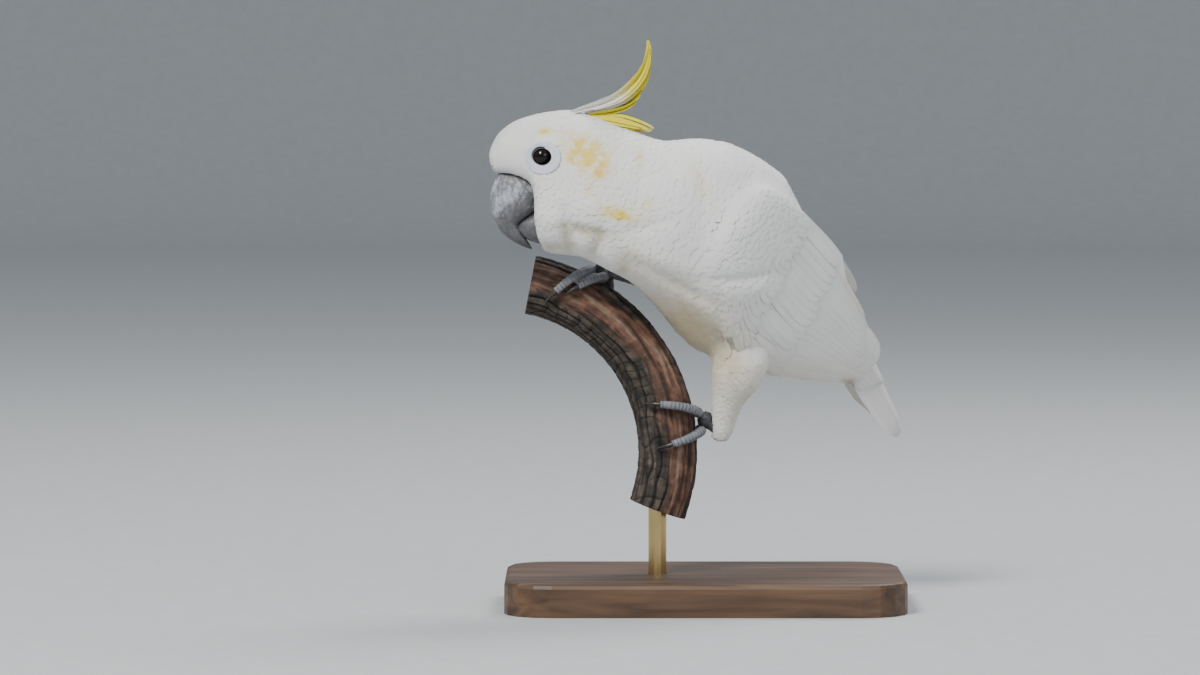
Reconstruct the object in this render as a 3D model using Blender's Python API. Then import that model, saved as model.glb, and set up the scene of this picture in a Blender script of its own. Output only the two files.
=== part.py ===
"""A lesser sulphur-crested (yellow-crested) cockatoo, life size, as a still museum model: it clings to a
cut length of curved bough, which a rod holds over a flat wooden base.

The tables are in millimetres and degrees, and the mesh is in metres, with +Z up. The bird looks along -X,
and its left side faces -Y. The origin is the centre of the base's underside.
The head's plane of symmetry is Y = HEAD_Y. From the neck back the body is bent away from it by TURN, so
that the trunk, wings and tail share a plane of symmetry of their own.
"""

import math

import bmesh
import bpy
from mathutils import Matrix, Vector

MM = 0.001

# ---------------------------------------------------------------- driving dimensions
CUT = 0.4  # gap that parts two neighbouring pieces
WING_ROOM = 1.2  # gap between a wing and what it lies on
HEAD_Y = -32.0
TURN = 28.0
TURN_FROM, TURN_TO = -20.0, 40.0  # where the neck turns, measured along the body from its neck point
NECK_X, NECK_Z = -35.8, 224.4
BODY_SLOPE = 44.0  # how steeply the trunk runs down towards the tail

EYE_X, EYE_Z = -89.2, 249.0
EYE_RADIUS = 6.2
EYE_SIDE = 11.4  # the ball's centre, from the head's plane of symmetry

RING_X, RING_Z, RING_RADIUS = -113.9, 85.8, 93.5  # the bough bends round this point
BOUGH_Y = -4.0
BOUGH_RADIUS = 16.5
BOUGH_FROM, BOUGH_TO = -20.0, 79.0

BASE_LENGTH, BASE_DEPTH, BASE_HEIGHT = 220.0, 140.0, 18.0
BASE_CORNER, BASE_EDGE = 26.0, 2.5
ROD_RADIUS, ROD_IN_BOUGH, ROD_IN_BASE = 5.0, 14.0, 9.0

# ---------------------------------------------------------------- shapes of the body
# Each station of the head, neck and trunk is a section across the body: the x and z of its throat or belly
# side, the x and z of its crown or back side, and its half width.
BODY = {
    "brow": (-116.3, 240.0, -118.0, 252.5, 5.8),
    "forehead": (-109.0, 237.6, -113.6, 261.4, 10.8),
    "lores": (-99.8, 234.0, -105.8, 267.6, 14.2),
    "gape": (-93.2, 227.0, -99.8, 270.2, 15.8),
    "chin": (-91.4, 199.5, -93.0, 272.3, 17.6),
    "cheek": (-80.5, 195.5, -80.9, 274.3, 21.5),
    "ear": (-68.0, 193.6, -66.0, 273.8, 24.0),
    "nape": (-56.1, 188.0, -51.2, 267.5, 25.0),
    "hind_neck": (-48.4, 184.0, -35.8, 261.8, 26.0),
    "throat": (-41.3, 180.2, -22.6, 257.4, 28.5),
    "neck_base": (-33.0, 171.6, -5.5, 259.4, 32.0),
    "shoulder": (-24.2, 161.7, 12.7, 256.6, 34.0),
    "breast": (-16.0, 151.0, 28.6, 248.8, 33.5),
    "keel": (-6.8, 142.2, 43.2, 238.6, 31.0),
    "back": (5.0, 136.8, 52.0, 221.8, 27.0),
    "belly": (22.0, 133.8, 59.6, 203.2, 22.5),
    "rump": (41.3, 131.5, 67.6, 184.6, 18.0),
    "vent": (60.5, 128.5, 75.4, 165.4, 14.0),
    "tail_coverts": (74.0, 124.5, 83.0, 146.5, 11.0),
    "coverts_end": (83.5, 120.0, 89.0, 131.0, 8.0),
}
BROW_POINT = (-119.2, 245.8)
BODY_SQUARE = 2.25  # superellipse exponent of a section: 2 is an ellipse
CHEEK_SAG = 0.12  # the widest level of a section sits below its middle
HEAD_END = "ear"
NECK_END = "neck_base"

# The closed wing, as sections across it: the x and z of its lower edge and of its upper edge, how far each
# edge stands from the plane of symmetry, how far the middle bulges beyond them, and its thickness.
WING = {
    "wrist": (1.0, 194.0, 11.0, 216.0, 30.5, 29.0, 3.0, 2.0),
    "bend": (-0.6, 184.0, 18.0, 226.5, 32.0, 27.5, 6.5, 4.0),
    "forearm": (-1.1, 169.0, 32.0, 235.0, 32.0, 23.0, 9.5, 5.5),
    "coverts": (1.7, 152.9, 48.5, 225.8, 31.5, 17.0, 12.0, 6.0),
    "greater_coverts": (12.7, 138.0, 63.4, 210.1, 29.0, 10.5, 13.0, 5.5),
    "secondaries": (33.0, 128.6, 77.6, 192.1, 25.0, 5.5, 12.5, 5.0),
    "tertials": (55.0, 124.3, 86.9, 175.5, 21.0, 3.5, 10.0, 4.0),
    "primaries": (71.5, 122.7, 94.0, 159.0, 17.5, 3.5, 7.5, 3.0),
    "tip": (82.5, 121.4, 98.8, 144.5, 13.5, 4.0, 5.0, 2.2),
    "end": (88.5, 122.0, 98.5, 134.5, 10.0, 6.0, 2.0, 1.2),
}
WING_PARTING = 3.9  # the section where the covert feathers end and the flight feathers show
WING_SPLIT = 0.5  # the flight feathers part here into secondaries and primaries
LEAST_WALL = 1.0

# The tail, a low roof: the x and z of its lower edges and of its ridge, its half width and its thickness.
TAIL = {
    "root": (62.0, 140.0, 77.0, 153.0, 9.0, 5.0),
    "base": (74.0, 125.5, 88.5, 144.0, 12.5, 5.0),
    "middle": (82.0, 115.5, 97.5, 128.0, 15.0, 4.5),
    "outer": (92.0, 106.0, 104.2, 113.5, 16.5, 3.8),
    "rounding": (101.5, 97.5, 109.6, 102.0, 15.0, 3.0),
    "end": (107.8, 91.6, 111.8, 93.8, 9.0, 2.0),
}

# The bill, as sections across it: the x and z of its outer and of its inner edge, and its half width.
UPPER_BILL = {
    "root": (-107.0, 242.0, -89.0, 229.5, 8.5),
    "cere": (-113.4, 238.8, -91.4, 224.9, 10.6),
    "gape": (-117.3, 230.2, -93.8, 218.4, 10.8),
    "notch": (-117.5, 222.2, -101.2, 212.6, 9.4),
    "hook": (-115.0, 213.6, -101.6, 210.2, 7.4),
    "lower_hook": (-111.0, 206.9, -99.6, 206.4, 5.4),
    "point": (-105.1, 202.4, -97.6, 203.2, 3.6),
    "tip": (-99.6, 199.6, -96.0, 200.8, 1.9),
}
BILL_TIP = (-94.6, 198.4)
LOWER_BILL = {
    "root": (-84.2, 200.5, -80.9, 219.0, 8.0),
    "base": (-90.8, 201.2, -88.0, 219.5, 9.0),
    "middle": (-96.5, 203.0, -94.6, 218.5, 8.6),
    "front": (-100.6, 205.8, -99.8, 215.6, 6.4),
    "edge": (-102.8, 208.0, -102.4, 213.2, 4.0),
}
LOWER_BILL_TIP = (-104.0, 210.6)

# The crest, feather by feather: root x and z, length, the way it points at its root and at its tip (0 is
# straight back, 90 straight up), its half width, and its distance to the side of the head.
CREST = {
    "crest_1": (-80.0, 272.0, 73.0, 4.0, 106.0, 3.3, 0.0),
    "crest_2": (-75.5, 272.0, 62.0, 4.0, 96.0, 3.3, -1.6),
    "crest_3": (-72.0, 271.8, 53.0, 4.0, 86.0, 3.3, 1.6),
    "crest_4": (-68.0, 271.4, 37.0, 3.0, 56.0, 3.4, -3.2),
    "crest_5": (-65.0, 271.2, 29.0, 2.0, 34.0, 3.4, 3.2),
    "crest_6": (-66.0, 270.4, 35.0, -5.0, -18.0, 3.2, 4.8),
    "crest_7": (-63.0, 269.6, 28.0, -6.0, -20.0, 3.1, -4.8),
}
CREST_CURL = 2.0  # above 1 the feathers curl mostly towards their tips
CREST_THICKNESS = 1.3

# A feathered thigh: x, y, z of its middle line, and its radius in the side view and across.
LEFT_THIGH = {
    "hip": (20.4, -12.0, 152.0, 15.5, 13.0),
    "knee": (19.8, -12.5, 137.5, 17.0, 14.5),
    "calf": (16.5, -11.5, 125.4, 14.3, 12.5),
    "shin": (12.6, -9.5, 115.5, 9.6, 8.8),
    "low_shin": (10.6, -7.5, 106.0, 7.8, 7.2),
    "cuff": (8.9, -5.5, 96.6, 6.7, 6.3),
    "ankle": (7.8, -5.0, 91.5, 5.0, 4.8),
}
RIGHT_THIGH = {
    "hip": (17.0, 25.0, 156.0, 15.0, 13.0),
    "knee": (7.2, 26.5, 161.5, 14.5, 12.5),
    "calf": (-5.0, 25.0, 167.3, 12.0, 10.5),
    "shin": (-16.0, 20.5, 172.2, 9.2, 8.4),
    "low_shin": (-25.0, 15.0, 175.8, 7.5, 7.0),
    "cuff": (-31.6, 10.0, 178.4, 6.4, 6.0),
    "ankle": (-34.6, 7.6, 179.6, 4.8, 4.6),
}

# Where each foot grips, as an angle round the bough's bend, and the way its four toes run: the step along
# the bough at the toe's root and at its tip, and the turn round the bough at its root and at its tip, where
# 0 is the bough's outer side and 90 the side that faces -Y.
LEFT_GRIP, RIGHT_GRIP = 8.5, 60.0
LEFT_TOES = {
    "toe_1": (2.0, 4.5, -20.0, -78.0),
    "toe_2": (-2.4, -5.5, 18.0, 84.0),
    "toe_3": (2.4, 8.5, 18.0, 92.0),
    "toe_4": (-2.4, -8.0, -20.0, -92.0),
}
RIGHT_TOES = {
    "toe_1": (2.0, 5.5, -20.0, -78.0),
    "toe_2": (-1.6, 4.4, 18.0, 66.0),
    "toe_3": (2.6, 10.4, 18.0, 88.0),
    "toe_4": (-2.4, -9.0, -20.0, -92.0),
}
TOE_RADIUS, TOE_TIP_RADIUS = 3.3, 2.5
PALM_RADIUS = 5.4
TARSUS_RADIUS = 4.0
CLAW_TURN, CLAW_RADIUS, CLAW_RISE = 27.0, 1.7, 1.0

# ---------------------------------------------------------------- how fine the solids are
BODY_SIDES, HEAD_STEP, BODY_STEP = 18, 0.5, 1.0
BILL_SIDES, BILL_STEP = 12, 0.7
CREST_STEPS = 7
WING_STEP, WING_ACROSS = 0.65, 6
TAIL_STEP, TAIL_ACROSS = 0.65, 7
LIMB_SIDES, TUBE_SIDES, CLAW_SIDES = 12, 8, 6
TOE_STEPS, CLAW_STEPS = 5, 4
BOUGH_SIDES, BOUGH_STEP = 16, 8.3
ROUND_SIDES = 16

SMOOTH_ANGLE = math.radians(50)

COLOURS = {
    "plumage": ((0.86, 0.85, 0.80), 0.8, 0.0),
    "crest": ((0.86, 0.78, 0.10), 0.7, 0.0),
    "bill": ((0.13, 0.13, 0.15), 0.5, 0.0),
    "eye": ((0.012, 0.010, 0.009), 0.1, 0.0),
    "foot": ((0.20, 0.21, 0.23), 0.7, 0.0),
    "claw": ((0.05, 0.05, 0.06), 0.4, 0.0),
    "bough": ((0.13, 0.08, 0.06), 0.85, 0.0),
    "base": ((0.16, 0.10, 0.06), 0.45, 0.0),
    "rod": ((0.55, 0.42, 0.22), 0.3, 1.0),
}


# ---------------------------------------------------------------- the bend between head and trunk
def distance_along(x, z):
    """How far a point of the side view lies tailward of the neck point."""
    slope = math.radians(BODY_SLOPE)
    return (x - NECK_X) * math.cos(slope) - (z - NECK_Z) * math.sin(slope)


def turn_at(p):
    """The turn of the body at the distance p, as an angle."""
    u = min(max((p - TURN_FROM) / (TURN_TO - TURN_FROM), 0.0), 1.0)
    return math.atan(math.tan(math.radians(TURN)) * u * u * (3 - 2 * u))


def middle_y(p):
    """The Y of the body's plane of symmetry at the distance p: the integral of the turn's slope."""
    reach = TURN_TO - TURN_FROM
    u = min(max((p - TURN_FROM) / reach, 0.0), 1.0)
    bent = reach * (u**3 - u**4 / 2)
    return HEAD_Y + math.tan(math.radians(TURN)) * (bent + max(p - TURN_TO, 0.0))


def turned(x, z, side):
    """The point at this place of the plane of symmetry, moved out to the right (+) or left (-) by side."""
    p = distance_along(x, z)
    turn, slope = turn_at(p), math.radians(BODY_SLOPE)
    back = side * math.sin(turn)
    y = middle_y(p) + side * math.cos(turn)
    return Vector((x - back * math.cos(slope), y, z + back * math.sin(slope)))


def beside(x, z, side):
    """The point that shows at x and z from the side, and stands off the plane of symmetry by side."""
    p = distance_along(x, z)
    turn = turn_at(p + side * math.sin(turn_at(p)))
    return Vector((x, middle_y(p + side * math.sin(turn)) + side * math.cos(turn), z))


def trunk_mirror():
    """The reflection in the plane of symmetry of the trunk, wings and tail."""
    turn, slope = math.radians(TURN), math.radians(BODY_SLOPE)
    normal = Vector((-math.sin(turn) * math.cos(slope), math.cos(turn), math.sin(turn) * math.sin(slope)))
    ahead = TURN_TO + 20.0
    on_plane = turned(NECK_X + ahead * math.cos(slope), NECK_Z - ahead * math.sin(slope), 0.0)
    flip = Matrix.Identity(4)
    for row in range(3):
        for column in range(3):
            flip[row][column] -= 2 * normal[row] * normal[column]
    return Matrix.Translation(on_plane) @ flip @ Matrix.Translation(-on_plane)


# ---------------------------------------------------------------- meshes
def clear_scene():
    for obj in list(bpy.data.objects):
        bpy.data.objects.remove(obj)


def collection(name):
    made = bpy.data.collections.new(name)
    bpy.context.scene.collection.children.link(made)
    return made


def material(name):
    made = bpy.data.materials.get(name) or bpy.data.materials.new(name)
    made.use_nodes = True
    colour, roughness, metallic = COLOURS[name]
    shader = made.node_tree.nodes["Principled BSDF"]
    shader.inputs["Base Color"].default_value = (*colour, 1.0)
    shader.inputs["Roughness"].default_value = roughness
    shader.inputs["Metallic"].default_value = metallic
    return made


def add_object(name, mesh, finish):
    """A sub-part: its mesh, which is in millimetres, goes into the scene in metres."""
    mesh.transform(Matrix.Scale(MM, 4))
    mesh.materials.clear()
    mesh.materials.append(material(finish))
    mesh.shade_smooth()
    mesh.set_sharp_from_angle(angle=SMOOTH_ANGLE)
    obj = bpy.data.objects.new(name, mesh)
    parts.objects.link(obj)
    return obj


def mesh_of(bm, name):
    bmesh.ops.recalc_face_normals(bm, faces=bm.faces)
    mesh = bpy.data.meshes.new(name)
    bm.to_mesh(mesh)
    bm.free()
    return mesh


def loft(name, rings, front=None, rear=None):
    """A closed skin over rings of equal size. A ring at an end is closed by a fan to the point given, or to
    its own centre."""
    bm = bmesh.new()
    rows = [[bm.verts.new(point) for point in ring] for ring in rings]
    count = len(rings[0])
    for row, following in zip(rows, rows[1:]):
        for i in range(count):
            j = (i + 1) % count
            bm.faces.new((row[i], row[j], following[j], following[i]))
    for row, end in ((rows[0], front), (rows[-1], rear)):
        centre = sum((v.co for v in row), Vector()) / count
        hub = bm.verts.new(end if end is not None else centre)
        for i in range(count):
            bm.faces.new((row[i], row[(i + 1) % count], hub))
    return mesh_of(bm, name)


def plate(name, outer_rows, inner_rows):
    """A closed plate between two grids of points, joined along all four edges."""
    bm = bmesh.new()
    rings = [outer + inner[::-1] for outer, inner in zip(outer_rows, inner_rows)]
    rows = [[bm.verts.new(point) for point in ring] for ring in rings]
    count = len(rows[0])
    for row, following in zip(rows, rows[1:]):
        for i in range(count):
            j = (i + 1) % count
            bm.faces.new((row[i], row[j], following[j], following[i]))
    for row in (rows[0], rows[-1]):
        for i in range(count // 2 - 1):
            bm.faces.new((row[i], row[i + 1], row[count - 2 - i], row[count - 1 - i]))
    return mesh_of(bm, name)


def station_at(table, s):
    """The values of a table of stations at the position s, where 0 is the first station: a smooth curve
    through them all."""
    rows = list(table.values())
    k = min(int(s), len(rows) - 2)
    u = s - k
    before, a, b, after = rows[max(k - 1, 0)], rows[k], rows[k + 1], rows[min(k + 2, len(rows) - 1)]
    return [
        (2 * q + (r - p) * u + (2 * p - 5 * q + 4 * r - t) * u * u + (3 * q - p - 3 * r + t) * u**3) / 2
        for p, q, r, t in zip(before, a, b, after)
    ]


def steps(first, last, step):
    """Positions from first to last, both included, about one step apart."""
    count = max(1, round((last - first) / step))
    return [first + (last - first) * i / count for i in range(count + 1)]


def power(value, exponent):
    return math.copysign(abs(value) ** exponent, value)


def section(values, place, sides=BODY_SIDES, square=BODY_SQUARE, sag=0.0):
    """A ring round the body: place turns x and z in the side view, and a side, into a point."""
    low_x, low_z, high_x, high_z, half_width = values
    ring = []
    for i in range(sides):
        angle = math.tau * i / sides
        up, out = (power(f(angle), 2 / square) for f in (math.cos, math.sin))
        share = (1 + up) / 2
        side = half_width * out * (1 - sag * up)
        x, z = low_x + (high_x - low_x) * share, low_z + (high_z - low_z) * share
        ring.append(place(x, z, side))
    return ring


def tube(name, points, radii, sides=TUBE_SIDES):
    """A round tube along the points, made as a bevelled curve and turned into a mesh with welded caps."""
    curve = bpy.data.curves.new(name, "CURVE")
    curve.dimensions = "3D"
    curve.bevel_depth = 1.0
    curve.bevel_resolution = sides // 2 - 2
    curve.use_fill_caps = True
    spline = curve.splines.new("POLY")
    spline.points.add(len(points) - 1)
    for target, point, radius in zip(spline.points, points, radii):
        target.co = (*point, 1.0)
        target.radius = radius
    guide = bpy.data.objects.new(name, curve)
    bpy.context.scene.collection.objects.link(guide)
    bpy.context.view_layer.update()
    mesh = bpy.data.meshes.new_from_object(guide.evaluated_get(bpy.context.evaluated_depsgraph_get()))
    bpy.data.objects.remove(guide)
    bm = bmesh.new()
    bm.from_mesh(mesh)
    bpy.data.meshes.remove(mesh)
    bmesh.ops.remove_doubles(bm, verts=bm.verts, dist=CUT / 100)
    return mesh_of(bm, name)


def limb(name, stations, step):
    """A feathered limb: oval rings across its middle line."""
    rings = []
    positions = steps(0.0, len(stations) - 1.0, step)
    for s in positions:
        x, y, z, radius, across = station_at(stations, s)
        ahead = Vector(station_at(stations, min(s + 0.1, positions[-1]))[:3])
        behind = Vector(station_at(stations, max(s - 0.1, 0.0))[:3])
        heading = (ahead - behind).normalized()
        aside = heading.cross(Vector((0, 1, 0))).normalized()
        depth = heading.cross(aside)
        ring = []
        for i in range(LIMB_SIDES):
            angle = math.tau * i / LIMB_SIDES
            out = aside * radius * math.cos(angle) + depth * across * math.sin(angle)
            ring.append(Vector((x, y, z)) + out)
        rings.append(ring)
    return loft(name, rings)


# ---------------------------------------------------------------- cutting
def grown_copy(obj, by):
    """A hidden copy of a piece, larger by this much all round, to cut its neighbour with."""
    mesh = obj.data.copy()
    bm = bmesh.new()
    bm.from_mesh(mesh)
    bm.normal_update()
    moved = [v.co + v.normal * by * MM * v.calc_shell_factor() for v in bm.verts]
    for vert, place in zip(bm.verts, moved):
        vert.co = place
    bm.to_mesh(mesh)
    bm.free()
    copy = bpy.data.objects.new(obj.name + "_cutter", mesh)
    cutters.objects.link(copy)
    copy.hide_render = True
    copy.display_type = "WIRE"
    return copy


def triangulate(obj):
    bm = bmesh.new()
    bm.from_mesh(obj.data)
    bmesh.ops.triangulate(bm, faces=bm.faces)
    bm.to_mesh(obj.data)
    bm.free()


def combine(obj, other, operation):
    triangulate(obj)
    triangulate(other)
    modifier = obj.modifiers.new(operation.lower(), "BOOLEAN")
    modifier.operation = operation
    modifier.object = other
    bpy.context.view_layer.update()
    evaluated = obj.evaluated_get(bpy.context.evaluated_depsgraph_get())
    result = bpy.data.meshes.new_from_object(evaluated)
    obj.modifiers.remove(modifier)
    obj.data = result


def make_room(obj, *neighbours, gap=CUT):
    """Cuts the space of each neighbour, and the gap round it, out of obj."""
    for neighbour in neighbours:
        cutter = grown_copy(neighbour, gap)
        combine(obj, cutter, "DIFFERENCE")
        bpy.data.objects.remove(cutter)


def unite(name, meshes, finish):
    """One closed piece from several meshes that overlap."""
    first, *others = [add_object(f"{name}_{i}", mesh, finish) for i, mesh in enumerate(meshes)]
    for other in others:
        combine(first, other, "UNION")
        bpy.data.objects.remove(other)
    first.name = name
    return first


# ---------------------------------------------------------------- head, neck and trunk
def body_piece(name, first, last, step, front=None):
    rings = [section(station_at(BODY, s), turned, sag=CHEEK_SAG) for s in steps(first, last, step)]
    return add_object(name, loft(name, rings, front), "plumage")


def make_body():
    """The head, neck and trunk are one lofted form, parted by two thin cuts across it."""
    stations = list(BODY)
    parting = CUT / 11.0  # the stations of the neck are about 11 mm apart
    head_end, neck_end = stations.index(HEAD_END), stations.index(NECK_END)
    brow = turned(*BROW_POINT, 0.0)
    head = body_piece("head", 0.0, head_end, HEAD_STEP, brow)
    neck = body_piece("neck", head_end + parting, neck_end, HEAD_STEP)
    trunk = body_piece("trunk", neck_end + parting, len(stations) - 1.0, BODY_STEP)
    return head, neck, trunk


def make_eyes():
    """Each eye is a ball that shows as a low dome in the side of the head."""
    eyes = []
    for name, side in (("eye_left", -1), ("eye_right", 1)):
        bm = bmesh.new()
        bmesh.ops.create_uvsphere(bm, u_segments=12, v_segments=7, radius=EYE_RADIUS)
        bmesh.ops.rotate(bm, verts=bm.verts, matrix=Matrix.Rotation(math.pi / 2, 3, "X"))
        bmesh.ops.translate(bm, verts=bm.verts, vec=(EYE_X, HEAD_Y + side * EYE_SIDE, EYE_Z))
        eyes.append(add_object(name, mesh_of(bm, name), "eye"))
    return eyes


def make_bill():
    """Two mandibles: the upper one hooks down over the cup of the lower one."""
    mandibles = []
    shapes = {"bill_upper": (UPPER_BILL, BILL_TIP), "bill_lower": (LOWER_BILL, LOWER_BILL_TIP)}
    for name, (table, tip) in shapes.items():
        positions = steps(0.0, len(table) - 1.0, BILL_STEP)
        rings = [section(station_at(table, s), turned, sides=BILL_SIDES, square=2.0) for s in positions]
        mandibles.append(add_object(name, loft(name, rings, rear=turned(*tip, 0.0)), "bill"))
    upper, lower = mandibles
    make_room(lower, upper)
    return upper, lower


def crest_feather(name, root_x, root_z, length, lean, curl, half_width, side):
    """A narrow feather that starts along the crown and curls up towards its tip."""
    x, z = root_x, root_z
    count = CREST_STEPS
    rings = []
    for u in steps(0.0, 1.0, 1 / count):
        if rings:
            heading = math.radians(lean + (curl - lean) * (u - 0.5 / count) ** CREST_CURL)
            x += length / count * math.cos(heading)
            z += length / count * math.sin(heading)
        heading = math.radians(lean + (curl - lean) * u**CREST_CURL)
        width = half_width * (0.6 + 0.4 * math.sin(math.pi * min(u * 1.5, 0.5))) * (1 - 0.6 * u**5)
        ring = []
        for k in range(6):
            across = width * math.cos(math.tau * k / 6)
            depth = CREST_THICKNESS / 2 * math.sin(math.tau * k / 6)
            ring.append(turned(x - across * math.sin(heading), z + across * math.cos(heading), side + depth))
        rings.append(ring)
    tip = turned(x + 2.0 * math.cos(heading), z + 2.0 * math.sin(heading), side)
    return add_object(name, loft(name, rings, rear=tip), "crest")


def make_crest():
    return [crest_feather(name, *values) for name, values in CREST.items()]


# ---------------------------------------------------------------- wings and tail
def wing_point(s, t):
    """A point of the left wing's middle surface: s runs from the wrist to the tip and t from the upper edge
    to the lower one."""
    low_x, low_z, high_x, high_z, low_side, high_side, bulge, _ = station_at(WING, s)
    side = high_side + (low_side - high_side) * t + bulge * (1 - abs(2 * t - 1) ** 2.6)
    return beside(high_x + (low_x - high_x) * t, high_z + (low_z - high_z) * t, -side)


def wing_normal(s, t):
    """Which way the wing's outer face looks at that point."""
    small = 0.02
    last = len(WING) - 1.0
    along = wing_point(min(s + small, last), t) - wing_point(max(s - small, 0.0), t)
    across = wing_point(s, min(t + small, 1.0)) - wing_point(s, max(t - small, 0.0))
    return across.cross(along).normalized()


def wing_piece(name, s_range, t_range):
    """A closed plate cut from the left wing, thickest along its middle."""
    outer_rows, inner_rows = [], []
    for s in steps(*s_range, WING_STEP):
        thickness = station_at(WING, s)[-1]
        outer, inner = [], []
        for t in steps(*t_range, (t_range[1] - t_range[0]) / WING_ACROSS):
            half = max(thickness * (1 - abs(2 * t - 1) ** 2.5), LEAST_WALL) / 2
            middle, normal = wing_point(s, t), wing_normal(s, t)
            outer.append(middle + normal * half)
            inner.append(middle - normal * half)
        outer_rows.append(outer)
        inner_rows.append(inner)
    return plate(name, outer_rows, inner_rows)


def mirrored(mesh):
    """The right wing's copy of a mesh of the left wing."""
    other = mesh.copy()
    other.transform(trunk_mirror())
    other.flip_normals()
    return other


def make_wings():
    """Each closed wing has its coverts, its secondaries above and its primaries below."""
    last = len(WING) - 1.0
    along, across = CUT / 18.0, CUT / 40.0  # half the gaps, as shares of a section's spacing and of its width
    pieces = (
        ("coverts", (0.0, WING_PARTING - along), (0.0, 1.0)),
        ("secondaries", (WING_PARTING + along, last), (0.0, WING_SPLIT - across)),
        ("primaries", (WING_PARTING + along, last), (WING_SPLIT + across, 1.0)),
    )
    wings = []
    for part, s_range, t_range in pieces:
        mesh = wing_piece(f"wing_left_{part}", s_range, t_range)
        wings.append(add_object(f"wing_right_{part}", mirrored(mesh), "plumage"))
        wings.append(add_object(f"wing_left_{part}", mesh, "plumage"))
    space = wing_piece("space_left", (0.0, last), (0.0, 1.0))
    right = add_object("space_right", mirrored(space), "plumage")
    return wings, [right, add_object("space_left", space, "plumage")]


def make_tail():
    """The closed tail is a low roof with a rounded end."""
    top_rows, bottom_rows = [], []
    slope = math.radians(BODY_SLOPE)
    for s in steps(0.0, len(TAIL) - 1.0, TAIL_STEP):
        low_x, low_z, ridge_x, ridge_z, half_width, thickness = station_at(TAIL, s)
        top, bottom = [], []
        for angle in steps(-90.0, 90.0, 180.0 / TAIL_ACROSS):
            out = math.sin(math.radians(angle))
            x, z = ridge_x + (low_x - ridge_x) * out * out, ridge_z + (low_z - ridge_z) * out * out
            drop = max(thickness * math.cos(math.radians(angle)), LEAST_WALL)
            top.append(turned(x, z, half_width * out))
            bottom.append(turned(x - drop * math.sin(slope), z - drop * math.cos(slope), half_width * out))
        top_rows.append(top)
        bottom_rows.append(bottom)
    return add_object("tail", plate("tail", top_rows, bottom_rows), "plumage")


# ---------------------------------------------------------------- bough, feet and stand
def on_bough(angle, turn, radius):
    """A point near the bough: the angle round its bend, the turn round its own axis, and the distance from
    that axis."""
    outward = Vector((math.cos(math.radians(angle)), 0.0, math.sin(math.radians(angle))))
    axis = Vector((RING_X, BOUGH_Y, RING_Z)) + outward * RING_RADIUS
    facing = outward * math.cos(math.radians(turn)) - Vector((0, 1, 0)) * math.sin(math.radians(turn))
    return axis + facing * radius


def make_bough():
    """A cut length of bough, as an arc with flat ends."""
    angles = steps(BOUGH_FROM, BOUGH_TO, BOUGH_STEP)
    points = [on_bough(angle, 0.0, 0.0) for angle in angles]
    mesh = tube("perch_bough", points, [BOUGH_RADIUS] * len(points), BOUGH_SIDES)
    return add_object("perch_bough", mesh, "bough")


def make_foot(side, grip, toes):
    """The palm, four toes that wrap the bough, two to each side of it, and their claws."""
    pieces = []
    palm_at = on_bough(grip, 0.0, BOUGH_RADIUS + PALM_RADIUS + CUT)
    ankle = Vector({"left": LEFT_THIGH, "right": RIGHT_THIGH}[side]["cuff"][:3])
    heel = ankle.lerp(palm_at, 0.05)
    shin = tube(f"foot_{side}", [heel, heel.lerp(palm_at, 0.5), palm_at], [TARSUS_RADIUS] * 3)
    ball = bmesh.new()
    bmesh.ops.create_uvsphere(ball, u_segments=10, v_segments=6, radius=PALM_RADIUS)
    bmesh.ops.translate(ball, verts=ball.verts, vec=palm_at)
    foot = unite(f"foot_{side}", [shin, mesh_of(ball, "palm")], "foot")
    for name, (step_from, step_to, turn_from, turn_to) in toes.items():
        points, radii = [], []
        for u in steps(0.0, 1.0, 1 / TOE_STEPS):
            radius = TOE_RADIUS + (TOE_TIP_RADIUS - TOE_RADIUS) * u
            angle = grip + step_from + (step_to - step_from) * u
            turn = turn_from + (turn_to - turn_from) * u
            points.append(on_bough(angle, turn, BOUGH_RADIUS + radius + CUT))
            radii.append(radius)
        toe = add_object(f"{name}_{side}", tube(name, points, radii), "foot")
        make_room(toe, foot)
        skew = (step_to - step_from) / (turn_to - turn_from)
        claw = make_claw(f"claw_{name[-1]}_{side}", grip + step_to, turn_to, skew)
        make_room(claw, toe)
        pieces += [toe, claw]
    return foot, pieces


def make_claw(name, angle, turn, skew):
    """A curved claw that carries on a toe's line and comes down to the bark."""
    away = math.copysign(CLAW_TURN, turn)
    points, radii = [], []
    for u in steps(0.0, 1.0, 1 / CLAW_STEPS):
        radius = CLAW_RADIUS * (1 - 0.8 * u)
        clear = (TOE_TIP_RADIUS - CLAW_RADIUS) * (1 - u) + CLAW_RISE * math.sin(math.pi * u)
        reach = BOUGH_RADIUS + CUT + radius + clear
        points.append(on_bough(angle + skew * away * u, turn + away * u, reach))
        radii.append(radius)
    return add_object(name, tube(name, points, radii, CLAW_SIDES), "claw")


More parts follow.
